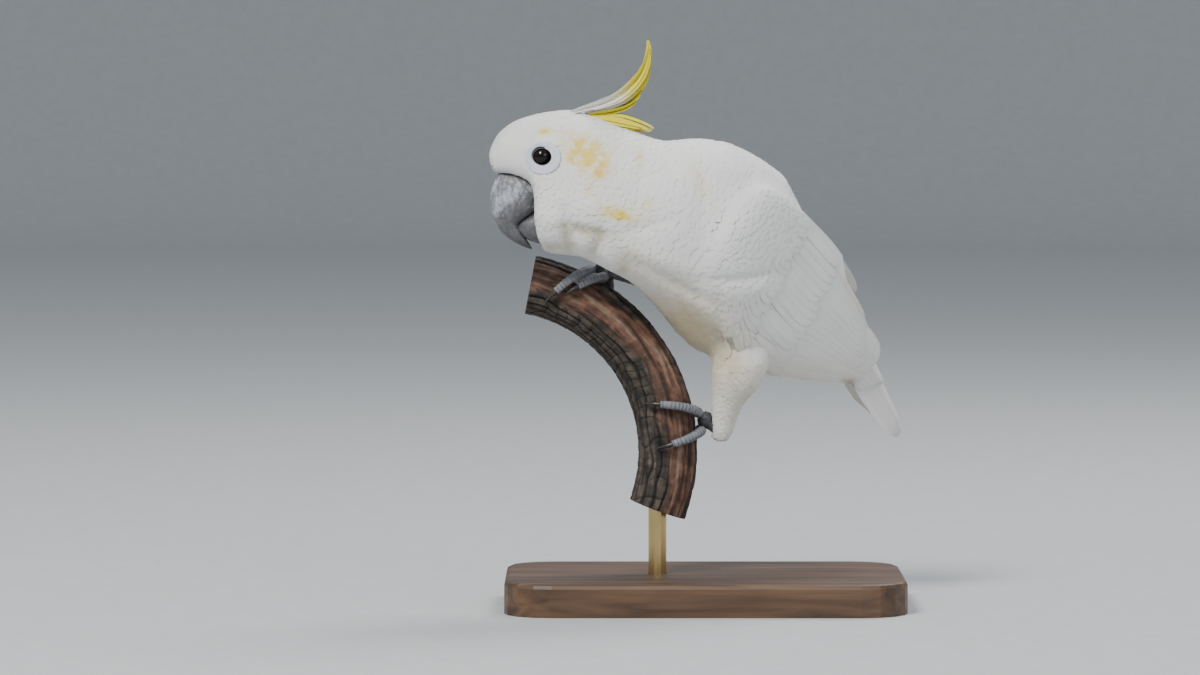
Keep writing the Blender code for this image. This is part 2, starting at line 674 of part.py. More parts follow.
def make_stand():
    """A flat base with rounded corners, and a rod that stands in it and reaches up into the bough."""
    foot = on_bough(BOUGH_FROM, 0.0, 0.0)
    bm = bmesh.new()
    bmesh.ops.create_cube(bm, size=1.0)
    bmesh.ops.scale(bm, verts=bm.verts, vec=(BASE_LENGTH, BASE_DEPTH, BASE_HEIGHT))
    bmesh.ops.translate(bm, verts=bm.verts, vec=(0.0, 0.0, BASE_HEIGHT / 2))
    upright = [e for e in bm.edges if abs(e.verts[0].co.z - e.verts[1].co.z) > BASE_HEIGHT / 2]
    bmesh.ops.bevel(bm, geom=upright, offset=BASE_CORNER, segments=4, profile=0.5, affect="EDGES")
    rim = [e for e in bm.edges if min(v.co.z for v in e.verts) > BASE_HEIGHT - CUT]
    bmesh.ops.bevel(bm, geom=rim, offset=BASE_EDGE, segments=2, profile=0.5, affect="EDGES")
    base = add_object("stand_base", mesh_of(bm, "stand_base"), "base")
    low, high = BASE_HEIGHT - ROD_IN_BASE, foot.z + ROD_IN_BOUGH
    rod = standing_cylinder("stand_rod", foot, ROD_RADIUS, low, high, "rod")
    make_room(base, rod)
    return base, rod


def standing_cylinder(name, at, radius, low, high, finish):
    bm = bmesh.new()
    both = {"radius1": radius, "radius2": radius}
    bmesh.ops.create_cone(bm, cap_ends=True, segments=ROUND_SIDES, depth=high - low, **both)
    bmesh.ops.translate(bm, verts=bm.verts, vec=(at.x, at.y, (low + high) / 2))
    return add_object(name, mesh_of(bm, name), finish)


# ---------------------------------------------------------------- the whole model
def build():
    head, neck, trunk = make_body()
    eyes = make_eyes()
    mandibles = make_bill()
    crest = make_crest()
    wings, spaces = make_wings()
    tail = make_tail()
    bough = make_bough()
    base, rod = make_stand()
    feet, toes = [], []
    for side, grip, table in (("left", LEFT_GRIP, LEFT_TOES), ("right", RIGHT_GRIP, RIGHT_TOES)):
        foot, digits = make_foot(side, grip, table)
        feet.append(foot)
        toes += digits
    thighs = []
    for name, table, foot in (("thigh_left", LEFT_THIGH, feet[0]), ("thigh_right", RIGHT_THIGH, feet[1])):
        thigh = add_object(name, limb(name, table, 1.0), "plumage")
        make_room(thigh, foot)
        thighs.append(thigh)
    make_room(head, *eyes, *mandibles)
    for feather in crest:
        make_room(feather, head, neck)
    for wing in wings:
        make_room(wing, *thighs)
    make_room(trunk, *spaces, gap=WING_ROOM)
    make_room(trunk, *thighs, *feet, tail)
    make_room(tail, *spaces, gap=WING_ROOM)
    for space in spaces:
        bpy.data.objects.remove(space)
    make_room(bough, rod)


clear_scene()
parts = collection("Cockatoo")
cutters = collection("Cutters")
build()
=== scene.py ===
"""Looks of the lesser sulphur-crested cockatoo: its skin, feathers, bill, eyes, feet, bough and stand.

Lengths are in millimetres until a mesh is made, and points are rows of arrays. The head looks along -X, and
from the neck back the body is bent away from the viewer, so most forms are laid out in the unbent side view
(x, z and the distance to the side) and then bent.
"""

import itertools
import math

import bpy
import numpy as np
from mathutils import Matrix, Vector
from mathutils.bvhtree import BVHTree


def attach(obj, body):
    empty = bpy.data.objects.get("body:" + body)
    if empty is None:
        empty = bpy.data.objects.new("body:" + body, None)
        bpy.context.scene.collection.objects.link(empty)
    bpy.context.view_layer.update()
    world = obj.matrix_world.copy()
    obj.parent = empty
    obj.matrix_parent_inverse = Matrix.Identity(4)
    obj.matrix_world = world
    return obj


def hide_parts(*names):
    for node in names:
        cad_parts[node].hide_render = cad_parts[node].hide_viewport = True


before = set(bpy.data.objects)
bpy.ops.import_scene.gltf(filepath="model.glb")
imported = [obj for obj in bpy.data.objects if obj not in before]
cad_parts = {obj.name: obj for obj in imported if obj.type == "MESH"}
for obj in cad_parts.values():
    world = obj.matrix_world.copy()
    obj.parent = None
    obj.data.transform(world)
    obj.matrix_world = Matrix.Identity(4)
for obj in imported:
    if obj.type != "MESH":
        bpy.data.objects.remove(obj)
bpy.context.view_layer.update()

MM = 0.001
draw = np.random.default_rng(11)

# ---------------- the sizes of the bird
HEAD_Y = -32.0
TURN = math.radians(28.0)
TURN_FROM, TURN_TO = -20.0, 40.0
NECK_X, NECK_Z = -35.8, 224.4
COS, SIN = math.cos(math.radians(44.0)), math.sin(math.radians(44.0))

# Sections of the head, neck and trunk: low x and z, high x and z, half width.
BODY = np.array([
    (-116.3, 240.0, -118.0, 252.5, 5.8),
    (-109.0, 237.6, -113.6, 261.4, 10.8),
    (-99.8, 234.0, -105.8, 267.6, 14.2),
    (-93.2, 227.0, -99.8, 270.2, 15.8),
    (-91.4, 199.5, -93.0, 272.3, 17.6),
    (-80.5, 195.5, -80.9, 274.3, 21.5),
    (-68.0, 193.6, -66.0, 273.8, 24.0),
    (-56.1, 188.0, -51.2, 267.5, 25.0),
    (-48.4, 184.0, -35.8, 261.8, 26.0),
    (-41.3, 180.2, -22.6, 257.4, 28.5),
    (-33.0, 171.6, -5.5, 259.4, 32.0),
    (-24.2, 161.7, 12.7, 256.6, 34.0),
    (-16.0, 151.0, 28.6, 248.8, 33.5),
    (-6.8, 142.2, 43.2, 238.6, 31.0),
    (5.0, 136.8, 52.0, 221.8, 27.0),
    (22.0, 133.8, 59.6, 203.2, 22.5),
    (41.3, 131.5, 67.6, 184.6, 18.0),
    (60.5, 128.5, 75.4, 165.4, 14.0),
    (74.0, 124.5, 83.0, 146.5, 11.0),
    (83.5, 120.0, 89.0, 131.0, 8.0),
])
# Sections of the closed wing: low x and z, high x and z, how far each edge stands to the side, bulge,
# thickness.
WING = np.array([
    (1.0, 194.0, 11.0, 216.0, 30.5, 29.0, 3.0, 2.0),
    (-0.6, 184.0, 18.0, 226.5, 32.0, 27.5, 6.5, 4.0),
    (-1.1, 169.0, 32.0, 235.0, 32.0, 23.0, 9.5, 5.5),
    (1.7, 152.9, 48.5, 225.8, 31.5, 17.0, 12.0, 6.0),
    (12.7, 138.0, 63.4, 210.1, 29.0, 10.5, 13.0, 5.5),
    (33.0, 128.6, 77.6, 192.1, 25.0, 5.5, 12.5, 5.0),
    (55.0, 124.3, 86.9, 175.5, 21.0, 3.5, 10.0, 4.0),
    (71.5, 122.7, 94.0, 159.0, 17.5, 3.5, 7.5, 3.0),
    (82.5, 121.4, 98.8, 144.5, 13.5, 4.0, 5.0, 2.2),
    (88.5, 122.0, 98.5, 134.5, 10.0, 6.0, 2.0, 1.2),
])
# Sections of the tail: low edges' x and z, ridge x and z, half width.
TAIL = np.array([
    (62.0, 140.0, 77.0, 153.0, 9.0),
    (74.0, 125.5, 88.5, 144.0, 12.5),
    (82.0, 115.5, 97.5, 128.0, 15.0),
    (92.0, 106.0, 104.2, 113.5, 16.5),
    (101.5, 97.5, 109.6, 102.0, 15.0),
    (107.8, 91.6, 111.8, 93.8, 9.0),
])
# Sections of the mandibles: outer x and z, inner x and z, half width; the last is the tip.
UPPER_BILL = np.array([
    (-107.0, 242.0, -89.0, 229.5, 8.5),
    (-113.4, 238.8, -91.4, 224.9, 10.6),
    (-117.3, 230.2, -93.8, 218.4, 10.8),
    (-117.5, 222.2, -101.2, 212.6, 9.4),
    (-115.0, 213.6, -101.6, 210.2, 7.4),
    (-111.0, 206.9, -99.6, 206.4, 5.4),
    (-105.1, 202.4, -97.6, 203.2, 3.6),
    (-99.6, 199.6, -96.0, 200.8, 1.9),
    (-95.2, 198.2, -94.8, 198.8, 0.3),
])
LOWER_BILL = np.array([
    (-84.2, 200.5, -80.9, 219.0, 8.0),
    (-90.8, 201.2, -88.0, 219.5, 9.0),
    (-96.5, 203.0, -94.6, 218.5, 8.6),
    (-100.6, 205.8, -99.8, 215.6, 6.4),
    (-102.8, 208.0, -102.4, 213.2, 4.0),
    (-104.0, 210.3, -104.0, 211.0, 0.6),
])
# The crest's outline in the side view, from root to tip: x and z of its inner curve and of its outer curve.
CREST = np.array([
    (-79.5, 274.3, -77.0, 271.8), (-72.0, 276.0, -70.0, 272.6), (-65.0, 277.7, -63.2, 273.2),
    (-58.5, 279.3, -56.5, 273.8), (-52.5, 281.3, -50.0, 274.6), (-47.0, 284.1, -43.5, 276.3),
    (-41.6, 288.3, -38.0, 279.8), (-37.0, 293.4, -33.6, 284.0), (-34.2, 298.6, -30.2, 289.2),
    (-32.7, 303.6, -28.1, 295.5), (-32.0, 308.2, -27.2, 302.6), (-32.0, 312.4, -29.0, 311.4),
])
# The yellow feathers that lie down the nape below it, by their upper and lower edges.
NAPE = np.array([
    (-70.0, 272.4, -70.0, 270.8), (-61.0, 273.2, -62.0, 269.8), (-52.0, 272.8, -55.0, 267.2),
    (-44.0, 271.2, -48.0, 264.8), (-37.0, 268.6, -41.0, 263.4), (-31.0, 265.8, -34.5, 262.6),
    (-28.0, 263.8, -29.5, 262.4),
])
THIGHS = {
    "left": np.array([
        (20.4, -12.0, 152.0), (19.8, -12.5, 137.5), (16.5, -11.5, 125.4), (12.6, -9.5, 115.5),
        (10.6, -7.5, 106.0), (8.9, -5.5, 96.6), (7.8, -5.0, 91.5),
    ]),
    "right": np.array([
        (17.0, 25.0, 156.0), (7.2, 26.5, 161.5), (-5.0, 25.0, 167.3), (-16.0, 20.5, 172.2),
        (-25.0, 15.0, 175.8), (-31.6, 10.0, 178.4), (-34.6, 7.6, 179.6),
    ]),
}
EYE_X, EYE_Z, EYE_SIDE, EYE_RADIUS = -89.2, 249.0, 11.4, 6.2
RING = (-88.8, 248.1, 9.1, 8.3)  # the bare ring round the eye: x, z and half sizes
LID_RIM, LID_EDGE = 4.35, 1.4  # the lids' opening, and how far they go past the ring
CREST_VANES, NAPE_VANES = 84, 36
LONG_VANES = 22  # of the crest's vanes, those that reach its tip
BODY_VOXEL, SKIN_VOXEL, FOOT_VOXEL = 1.15, 1.3, 0.5
BODY_GROWN, FOOT_GROWN = 0.7, 0.25  # closes the gaps between nodes while they are blended
EASING_ROUNDS = 110
HEAD_END, NECK_END, COVERTS_END = 6.8, 10.2, 3.4  # where regions of small feathers end
WING_MARK, LEG_MARK = 20, 40  # stations from these on are a wing's or a leg's
SKIN_DEPTH_HEAD, SKIN_DEPTH, HEAD_X = 1.2, 1.8, -60.0  # the skin under the coat, before HEAD_X and behind it
BILL_ROOM = 1.1  # between the bill and the nearest feather's root
FRAY, LARGE_FRAY, CREST_FRAY = 0.03, 0.015, 0.05
SHAFT = 0.15
BOUGH_CENTRE, RING_RADIUS = np.array((-113.9, -4.0, 85.8)), 93.5  # the bough bends round this point
BOUGH_RADIUS, BOUGH_FROM, BOUGH_TO = 16.5, -20.0, 79.0
SCUTE_LENGTH, SCALE_WIDTH = 2.1, 1.15
CLAW_RADIUS, CLAW_TURN = 1.75, 27.0  # at its root; how far it turns on round the bough
GRIP = {"left": 8.5, "right": 60.0}  # where along the bough each foot holds it
TOES = {  # the step along the bough at root and tip, and the turn round it at root and tip
    "left": (
        (2.0, 4.5, -20.0, -78.0), (-2.4, -5.5, 18.0, 84.0),
        (2.4, 8.5, 18.0, 92.0), (-2.4, -8.0, -20.0, -92.0),
    ),
    "right": (
        (2.0, 5.5, -20.0, -78.0), (-1.6, 4.4, 18.0, 66.0),
        (2.6, 10.4, 18.0, 88.0), (-2.4, -9.0, -20.0, -92.0),
    ),
}
FLESH = ("head", "neck", "trunk", "thigh_left", "thigh_right", "wing_left_coverts", "wing_right_coverts")
FLIGHT = ("wing_left_secondaries", "wing_left_primaries", "wing_right_secondaries", "wing_right_primaries")
NEIGHBOURS = tuple(itertools.product((-1, 0, 1), repeat=3))
PATCH_SIZE = 0.003  # of a vane on its UV map


# ---------------- numbers and arrays
def unit(v):
    return v / np.maximum(np.linalg.norm(v, axis=-1, keepdims=True), 1e-9)


def dot(a, b):
    return (a * b).sum(-1)


def level(v, normal):
    """The part of v that lies across normal."""
    return v - normal * dot(v, normal)[..., None]


def between(a, b, share):
    return a + (b - a) * share


def clamp(value, low=0.0, high=1.0):
    return np.clip(value, low, high)


def smooth(low, high, value):
    u = clamp((value - low) / (high - low))
    return u * u * (3 - 2 * u)


def alike(*values):
    return np.broadcast_arrays(*(np.asarray(v, float) for v in values))


def circle(count):
    """Angles of so many points round a circle."""
    return np.linspace(0, math.tau, count, endpoint=False)


def chunks(count, size):
    return (slice(start, start + size) for start in range(0, count, size))


def bump_at(x, z, cx, cz, rx, rz, tilt=0.0):
    """A round hill, 1 at its centre, over an ellipse in the side view."""
    c, s = math.cos(math.radians(tilt)), math.sin(math.radians(tilt))
    wide, up = (x - cx) * c + (z - cz) * s, (z - cz) * c - (x - cx) * s
    return np.exp(-((wide / rx) ** 2) - (up / rz) ** 2)


def wave_noise(points, scale, rounds=5, seed=3):
    """Smooth noise from sums of waves in fixed odd directions."""
    dice = np.random.default_rng(seed)
    flat = points.reshape(-1, 3)
    total = np.zeros(len(flat))
    for k in range(rounds):
        for _ in range(4):
            way = unit(dice.normal(size=3)) * scale * 1.8**k
            total += np.sin(flat @ way + dice.uniform(0, 6.28)) / 1.7**k
    return total.reshape(points.shape[:-1]) / 4


def station_at(table, s):
    """Values of a table of stations at positions s, on a smooth curve through them all."""
    s = np.asarray(s, float)
    k = np.clip(s.astype(int), 0, len(table) - 2)
    u = (s - k)[..., None]
    p, q, r, t = (table[np.clip(k + i, 0, len(table) - 1)] for i in (-1, 0, 1, 2))
    return (2 * q + (r - p) * u + (2 * p - 5 * q + 4 * r - t) * u**2 + (3 * q - p - 3 * r + t) * u**3) / 2


def across(row, share, start=0):
    """x and z a share of the way across a section, from the edge that starts at column start."""
    return (between(row[..., start + i], row[..., 2 - start + i], share) for i in (0, 1))


# ---------------- the bent body
def along(x, z):
    return (x - NECK_X) * COS - (z - NECK_Z) * SIN


def bend_share(p):
    return clamp((p - TURN_FROM) / (TURN_TO - TURN_FROM))


def turn_at(p):
    u = bend_share(p)
    return np.arctan(math.tan(TURN) * u * u * (3 - 2 * u))


def middle_y(p):
    u = bend_share(p)
    run = (TURN_TO - TURN_FROM) * (u**3 - u**4 / 2) + np.maximum(p - TURN_TO, 0.0)
    return HEAD_Y + math.tan(TURN) * run


def bent(x, z, side):
    """Points of the model from places in the side view and distances to the right (+) or left (-)."""
    x, z, side = alike(x, z, side)
    p = along(x, z)
    turn = turn_at(p)
    back = side * np.sin(turn)
    return np.stack((x - back * COS, middle_y(p) + side * np.cos(turn), z + back * SIN), -1)


def beside(x, z, side):
    """Points that show at x and z from the side and stand off the plane of symmetry by side."""
    x, z, side = alike(x, z, side)
    p = along(x, z)
    turn = turn_at(p + side * np.sin(turn_at(p)))
    return np.stack((x, middle_y(p + side * np.sin(turn)) + side * np.cos(turn), z), -1)


def unbent(points):
    """The inverse of bent: x, z and side."""
    x, y, z = np.moveaxis(points, -1, 0)
    seen = along(x, z)
    side = np.zeros_like(x)
    for _ in range(8):
        p = seen + side * np.sin(turn_at(seen + 0.4 * side))
        side = 0.5 * side + 0.5 * (y - middle_y(p)) / np.cos(turn_at(p))
    back = side * np.sin(turn_at(p))
    return x + back * COS, z - back * SIN, side


def trunk_mirrored(points, free=False):
    """Points, or free directions, reflected in the plane of symmetry of the trunk, wings and tail."""
    normal = np.array((-math.sin(TURN) * COS, math.cos(TURN), math.sin(TURN) * SIN))
    on_plane = bent(NECK_X + 60.0 * COS, NECK_Z - 60.0 * SIN, 0.0)
    offset = points if free else points - on_plane
    return points - 2 * (offset @ normal)[..., None] * normal


def wing_point(s, t, out=0.0):
    """The left wing: s runs from wrist to tip, t from the upper to the lower edge, out is outwards."""
    row = station_at(WING, s)
    off = np.abs(clamp(2 * t - 1, -1, 1))
    side = between(row[..., 5], row[..., 4], t) + row[..., 6] * (1 - off**2.6)
    thick = np.maximum(row[..., 7] * (1 - off**2.5), 1.0) / 2
    return beside(*across(row, t, 2), -(side + thick + out))


def tail_point(s, v, out=0.0):
    """The tail's upper face: s runs from root to tip and v from -1 at one edge over the ridge to 1."""
    row = station_at(TAIL, s)
    x, z = across(row, v * v, 2)
    return bent(x + out * SIN, z + out * COS, row[..., 4] * v)


def on_bough(angle, turn, radius):
    """Points near the bough: the angle round its bend, the turn round its axis, the distance from that."""
    angle, turn, radius = alike(np.radians(angle), np.radians(turn), radius)
    reach = RING_RADIUS + radius * np.cos(turn)
    out = np.stack((reach * np.cos(angle), -radius * np.sin(turn), reach * np.sin(angle)), -1)
    return BOUGH_CENTRE + out


def on_bough_axis(points):
    """The nearest points of the bough's own axis."""
    return BOUGH_CENTRE + unit((points - BOUGH_CENTRE) * (1, 0, 1)) * RING_RADIUS


# ---------------- meshes
def grid_faces(rows, columns, closed=False):
    """Quads of a grid of points, closed round its columns if asked."""
    i, j = np.meshgrid(np.arange(rows - 1), np.arange(columns if closed else columns - 1), indexing="ij")
    i, k = i * columns, (j + 1) % columns
    return np.stack((i + j, i + k, i + columns + k, i + columns + j), -1).reshape(-1, 4)


def tube_faces(rows, columns):
    """Quads round a tube of rings, and the two faces that close its ends."""
    ends = np.stack((np.arange(columns)[::-1], np.arange(columns) + (rows - 1) * columns))
    return grid_faces(rows, columns, closed=True), ends


def repeated(parts, count, size):
    """Arrays of faces for count equal meshes of size points each."""
    shift = (np.arange(count) * size)[:, None, None]
    return [(part + shift).reshape(-1, part.shape[1]) for part in parts]


def mesh_object(name, points, faces, sharp=(), paint=None, flip=False):
    """An object from points in millimetres and arrays of faces; sharp says which arrays are flat-shaded."""
    mesh = bpy.data.meshes.new(name)
    points = np.reshape(points, (-1, 3))
    mesh.vertices.add(len(points))
    mesh.vertices.foreach_set("co", (points * MM).astype(np.float32).ravel())
    faces = [np.asarray(f[:, ::-1] if flip else f, np.int32) for f in faces]
    totals = np.concatenate([np.full(len(f), f.shape[1], np.int32) for f in faces])
    mesh.loops.add(int(totals.sum()))
    mesh.loops.foreach_set("vertex_index", np.concatenate([f.ravel() for f in faces]))
    mesh.polygons.add(len(totals))
    mesh.polygons.foreach_set("loop_start", np.concatenate(([0], np.cumsum(totals)[:-1])).astype(np.int32))
    mesh.polygons.foreach_set("loop_total", totals)
    mesh.update(calc_edges=True)
    flat = mesh.attributes.new("sharp_face", "BOOLEAN", "FACE")
    flat.data.foreach_set("value", np.concatenate([np.full(len(f), i in sharp) for i, f in enumerate(faces)]))
    if paint is not None:
        set_colour(mesh, "paint", paint)
    obj = bpy.data.objects.new(name, mesh)
    bpy.context.scene.collection.objects.link(obj)
    return obj


def set_colour(mesh, name, values):
    values = np.reshape(values, (-1, 3))
    values = np.concatenate([values, np.ones((len(values), 1))], 1).astype(np.float32)
    mesh.color_attributes.new(name, "FLOAT_COLOR", "POINT").data.foreach_set("color", values.ravel())


def taken(items, key, width, kind):
    """One property of a mesh's items as an array."""
    values = np.empty(len(items) * width, kind)
    items.foreach_get(key, values)
    return values.reshape(-1, width) if width > 1 else values


def mesh_arrays(obj):
    """Points in millimetres and triangles of an object with its modifiers."""
    evaluated = obj.evaluated_get(bpy.context.evaluated_depsgraph_get())
    mesh = evaluated.to_mesh()
    mesh.calc_loop_triangles()
    points = taken(mesh.vertices, "co", 3, np.float32).astype(float)
    faces = taken(mesh.loop_triangles, "vertices", 3, np.int32).astype(int)
    evaluated.to_mesh_clear()
    return points / MM, faces


def collected(nodes, grow=None):
    """The solids of several nodes as one mesh, and which node each triangle is from. With grow, their corners
    are welded and moved out by so much."""
    points, faces, owner, base = [], [], [], 0
    for i, node in enumerate(nodes):
        co, tris = mesh_arrays(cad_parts[node])
        if grow is not None:
            co, inverse = np.unique(np.round(co, 4), axis=0, return_inverse=True)
            tris = inverse.ravel()[tris]
            co = co + point_normals(co, tris) * grow
        points.append(co)
        faces.append(tris + base)
        owner.append(np.full(len(tris), i))
        base += len(co)
    return np.concatenate(points), np.concatenate(faces), np.concatenate(owner)


def neighbour_mean(values, edges, rounds):
    """Values on a mesh's points, evened out along its edges."""
    count = len(values)
    degree = np.bincount(edges.ravel(), minlength=count)[:, None] + 1.0
    values = values.reshape(count, -1)
    for _ in range(rounds):
        total = values.copy()
        for column in range(values.shape[1]):
            for a, b in ((0, 1), (1, 0)):
                total[:, column] += np.bincount(edges[:, a], values[edges[:, b], column], count)
        values = total / degree
    return values


def edges_of(faces):
    pairs = np.concatenate([faces[:, (i, (i + 1) % 3)] for i in range(3)])
    return np.unique(np.sort(pairs, 1), axis=0)


def point_normals(points, faces):
    normal = np.cross(points[faces[:, 1]] - points[faces[:, 0]], points[faces[:, 2]] - points[faces[:, 0]])
    total = np.zeros_like(points)
    for corner in range(3):
        for axis in range(3):
            total[:, axis] += np.bincount(faces[:, corner], normal[:, axis], len(points))
    return unit(total)


def blended(nodes, voxel, grow, even=8):
    """One smooth closed mesh round several nodes, each grown a little to close the gaps between them."""
    points, faces, _ = collected(nodes, grow)
    obj = mesh_object("blend", points, [faces])
    remesh = obj.modifiers.new("blend", "REMESH")
    remesh.mode, remesh.voxel_size = "VOXEL", voxel * MM
    points, faces = mesh_arrays(obj)
    bpy.data.objects.remove(obj)
    edges = edges_of(faces)
    points = neighbour_mean(points, edges, even)
    return points - point_normals(points, faces) * grow, faces, edges


def eased(points, edges):
    """Softens the front edge of each wing, where the coats of breast and wing run into one another."""
    x, z, side = unbent(points)
    share = bump_at(x, z, 22.0, 208.0, 36.0, 34.0, -30) + bump_at(x, z, 2.0, 175.0, 14.0, 22.0)
    share = clamp(share * 1.3) * smooth(8.0, 14.0, np.abs(side))
    for _ in range(EASING_ROUNDS):
        points = between(points, neighbour_mean(points, edges, 1), share[:, None])
    return points


class Surface:
    """A mesh to lay things on."""

    def __init__(self, points, faces):
        self.points, self.faces = points, faces
        self.normals = point_normals(points, faces)
        self.tree = BVHTree.FromPolygons(points.tolist(), faces.tolist())

    def nearest(self, places):
        """For each place: the nearest point, and the corners and weights to read fields with."""
        shape = places.shape[:-1]
        hits = [self.tree.find_nearest(p) for p in places.reshape(-1, 3).tolist()]
        spot = np.array([tuple(h[0]) for h in hits])
        corners = self.faces[np.array([h[2] for h in hits])]
        a, b, c = (self.points[corners[:, i]] for i in range(3))
        u, v, w = b - a, c - a, spot - a
        uu, uv, vv, wu, wv = (dot(p, q) for p, q in ((u, u), (u, v), (v, v), (w, u), (w, v)))
        area = np.maximum(uu * vv - uv * uv, 1e-12)
        second, third = (vv * wu - uv * wv) / area, (uu * wv - uv * wu) / area
        weights = clamp(np.stack((1 - second - third, second, third), -1))
        return spot.reshape(*shape, 3), (corners.reshape(*shape, 3), weights.reshape(*shape, 3))

    @staticmethod
    def read(values, at):
        """Values given on the points, in rows, at the places that nearest found."""
        corners, weights = at
        return (values[corners] * weights[..., None]).sum(-2)


# ---------------- the lie of the coat
FINE = np.linspace(0.0, len(BODY) - 1.0, 400)
FINE_ROWS = station_at(BODY, FINE)


def body_place(points):
    """For points near the body: the station, the share of the way from the low to the high edge, the side."""
    x, z, side = unbent(points)
    s = np.empty(len(x))
    low, high = FINE_ROWS[:, 0:2], FINE_ROWS[:, 2:4]
    tall = np.linalg.norm(high - low, axis=1)
    up = (high - low) / tall[:, None]
    for part in chunks(len(x), 20000):
        px, pz = x[part, None] - low[:, 0], z[part, None] - low[:, 1]
        share = (px * up[:, 0] + pz * up[:, 1]) / tall
        outside = np.maximum(np.maximum(-share, share - 1), 0.0) * tall
        s[part] = FINE[np.argmin(np.abs(px * up[:, 1] - pz * up[:, 0]) + 0.6 * outside, axis=1)]
    row = station_at(BODY, s)
    edge = row[:, 2:4] - row[:, 0:2]
    share = ((x - row[:, 0]) * edge[:, 0] + (z - row[:, 1]) * edge[:, 1]) / dot(edge, edge)
    return s, clamp(share), side


def body_flow(s, share, side):
    """The lie of the feathers on the head, neck and trunk, from the bill back to the tail."""
    ahead, behind = (station_at(BODY, clamp(s + step, 0, len(BODY) - 1.0)) for step in (-0.15, 0.15))
    spread = clamp(behind[:, 4] / ahead[:, 4], 0.85, 1.25)
    return unit(bent(*across(behind, share), side * spread) - bent(*across(ahead, share), side))


def wing_place(points):
    """The nearest place s, t on the left wing, looked up in a grid of its points."""
    s, t = (v.ravel() for v in np.meshgrid(np.linspace(0, 9, 91), np.linspace(0, 1, 25), indexing="ij"))
    lattice = wing_point(s, t)
    best = np.empty(len(points), int)
    for part in chunks(len(points), 4000):
        away = (points[part] ** 2).sum(1)[:, None] - 2 * points[part] @ lattice.T + (lattice**2).sum(1)
        best[part] = away.argmin(1)
    return s[best], t[best]


def thigh_flow(points, line):
    """Down the leg, along the nearest part of its middle line."""
    middle = (line[1:] + line[:-1]) / 2
    nearest = ((points[:, None] - middle) ** 2).sum(-1).argmin(1)
    return unit(line[1:] - line[:-1])[nearest], nearest / (len(middle) - 1)


def node_labels(points, nodes):
    """Which of the nodes is nearest to each point."""
    corners, faces, owner = collected(nodes)
    tree = BVHTree.FromPolygons(corners.tolist(), faces.tolist())
    return np.array([nodes[owner[tree.find_nearest(p)[2]]] for p in points.tolist()])


# Folds of the plumage on the head, neck and body: x, z, half sizes, tilt, height; the same on both sides.
FOLDS = (
    (-85.8, 213.0, 8.0, 11.0, 0, 1.9), (-85.0, 199.5, 9.0, 2.4, -6, -0.9),
    (-75.5, 213.0, 2.8, 10.0, 8, -1.3), (-67.0, 219.5, 7.5, 7.0, 0, 1.3),
    (-66.0, 209.5, 12.0, 2.8, -8, -1.3), (-76.0, 203.0, 2.8, 8.0, 8, -1.3),
    (-68.0, 202.0, 4.5, 8.0, 0, 1.3), (-61.5, 203.0, 3.0, 9.0, -20, -1.3),
    (-55.5, 195.0, 4.0, 9.0, 10, 1.4), (-49.5, 189.0, 2.8, 8.0, -15, -1.1),
    (-38.0, 215.0, 16.0, 3.4, 25, -1.0), (-30.0, 200.0, 16.0, 5.0, -15, 1.1),
    (-22.0, 187.0, 18.0, 3.0, -25, -1.2), (-36.0, 240.0, 3.0, 14.0, -12, -0.9),
    (-8.0, 236.0, 3.6, 15.0, -14, -0.8), (-14.0, 177.0, 14.0, 5.0, -35, 0.9),
    (9.0, 195.5, 20.0, 2.6, 6, -1.2), (14.0, 187.5, 14.0, 6.0, 4, 1.0),
    (-4.0, 170.0, 2.8, 22.0, 8, -1.2), (27.0, 176.0, 16.0, 3.0, -38, -0.7),
    (20.0, 160.0, 20.0, 3.0, -30, -0.7),
)


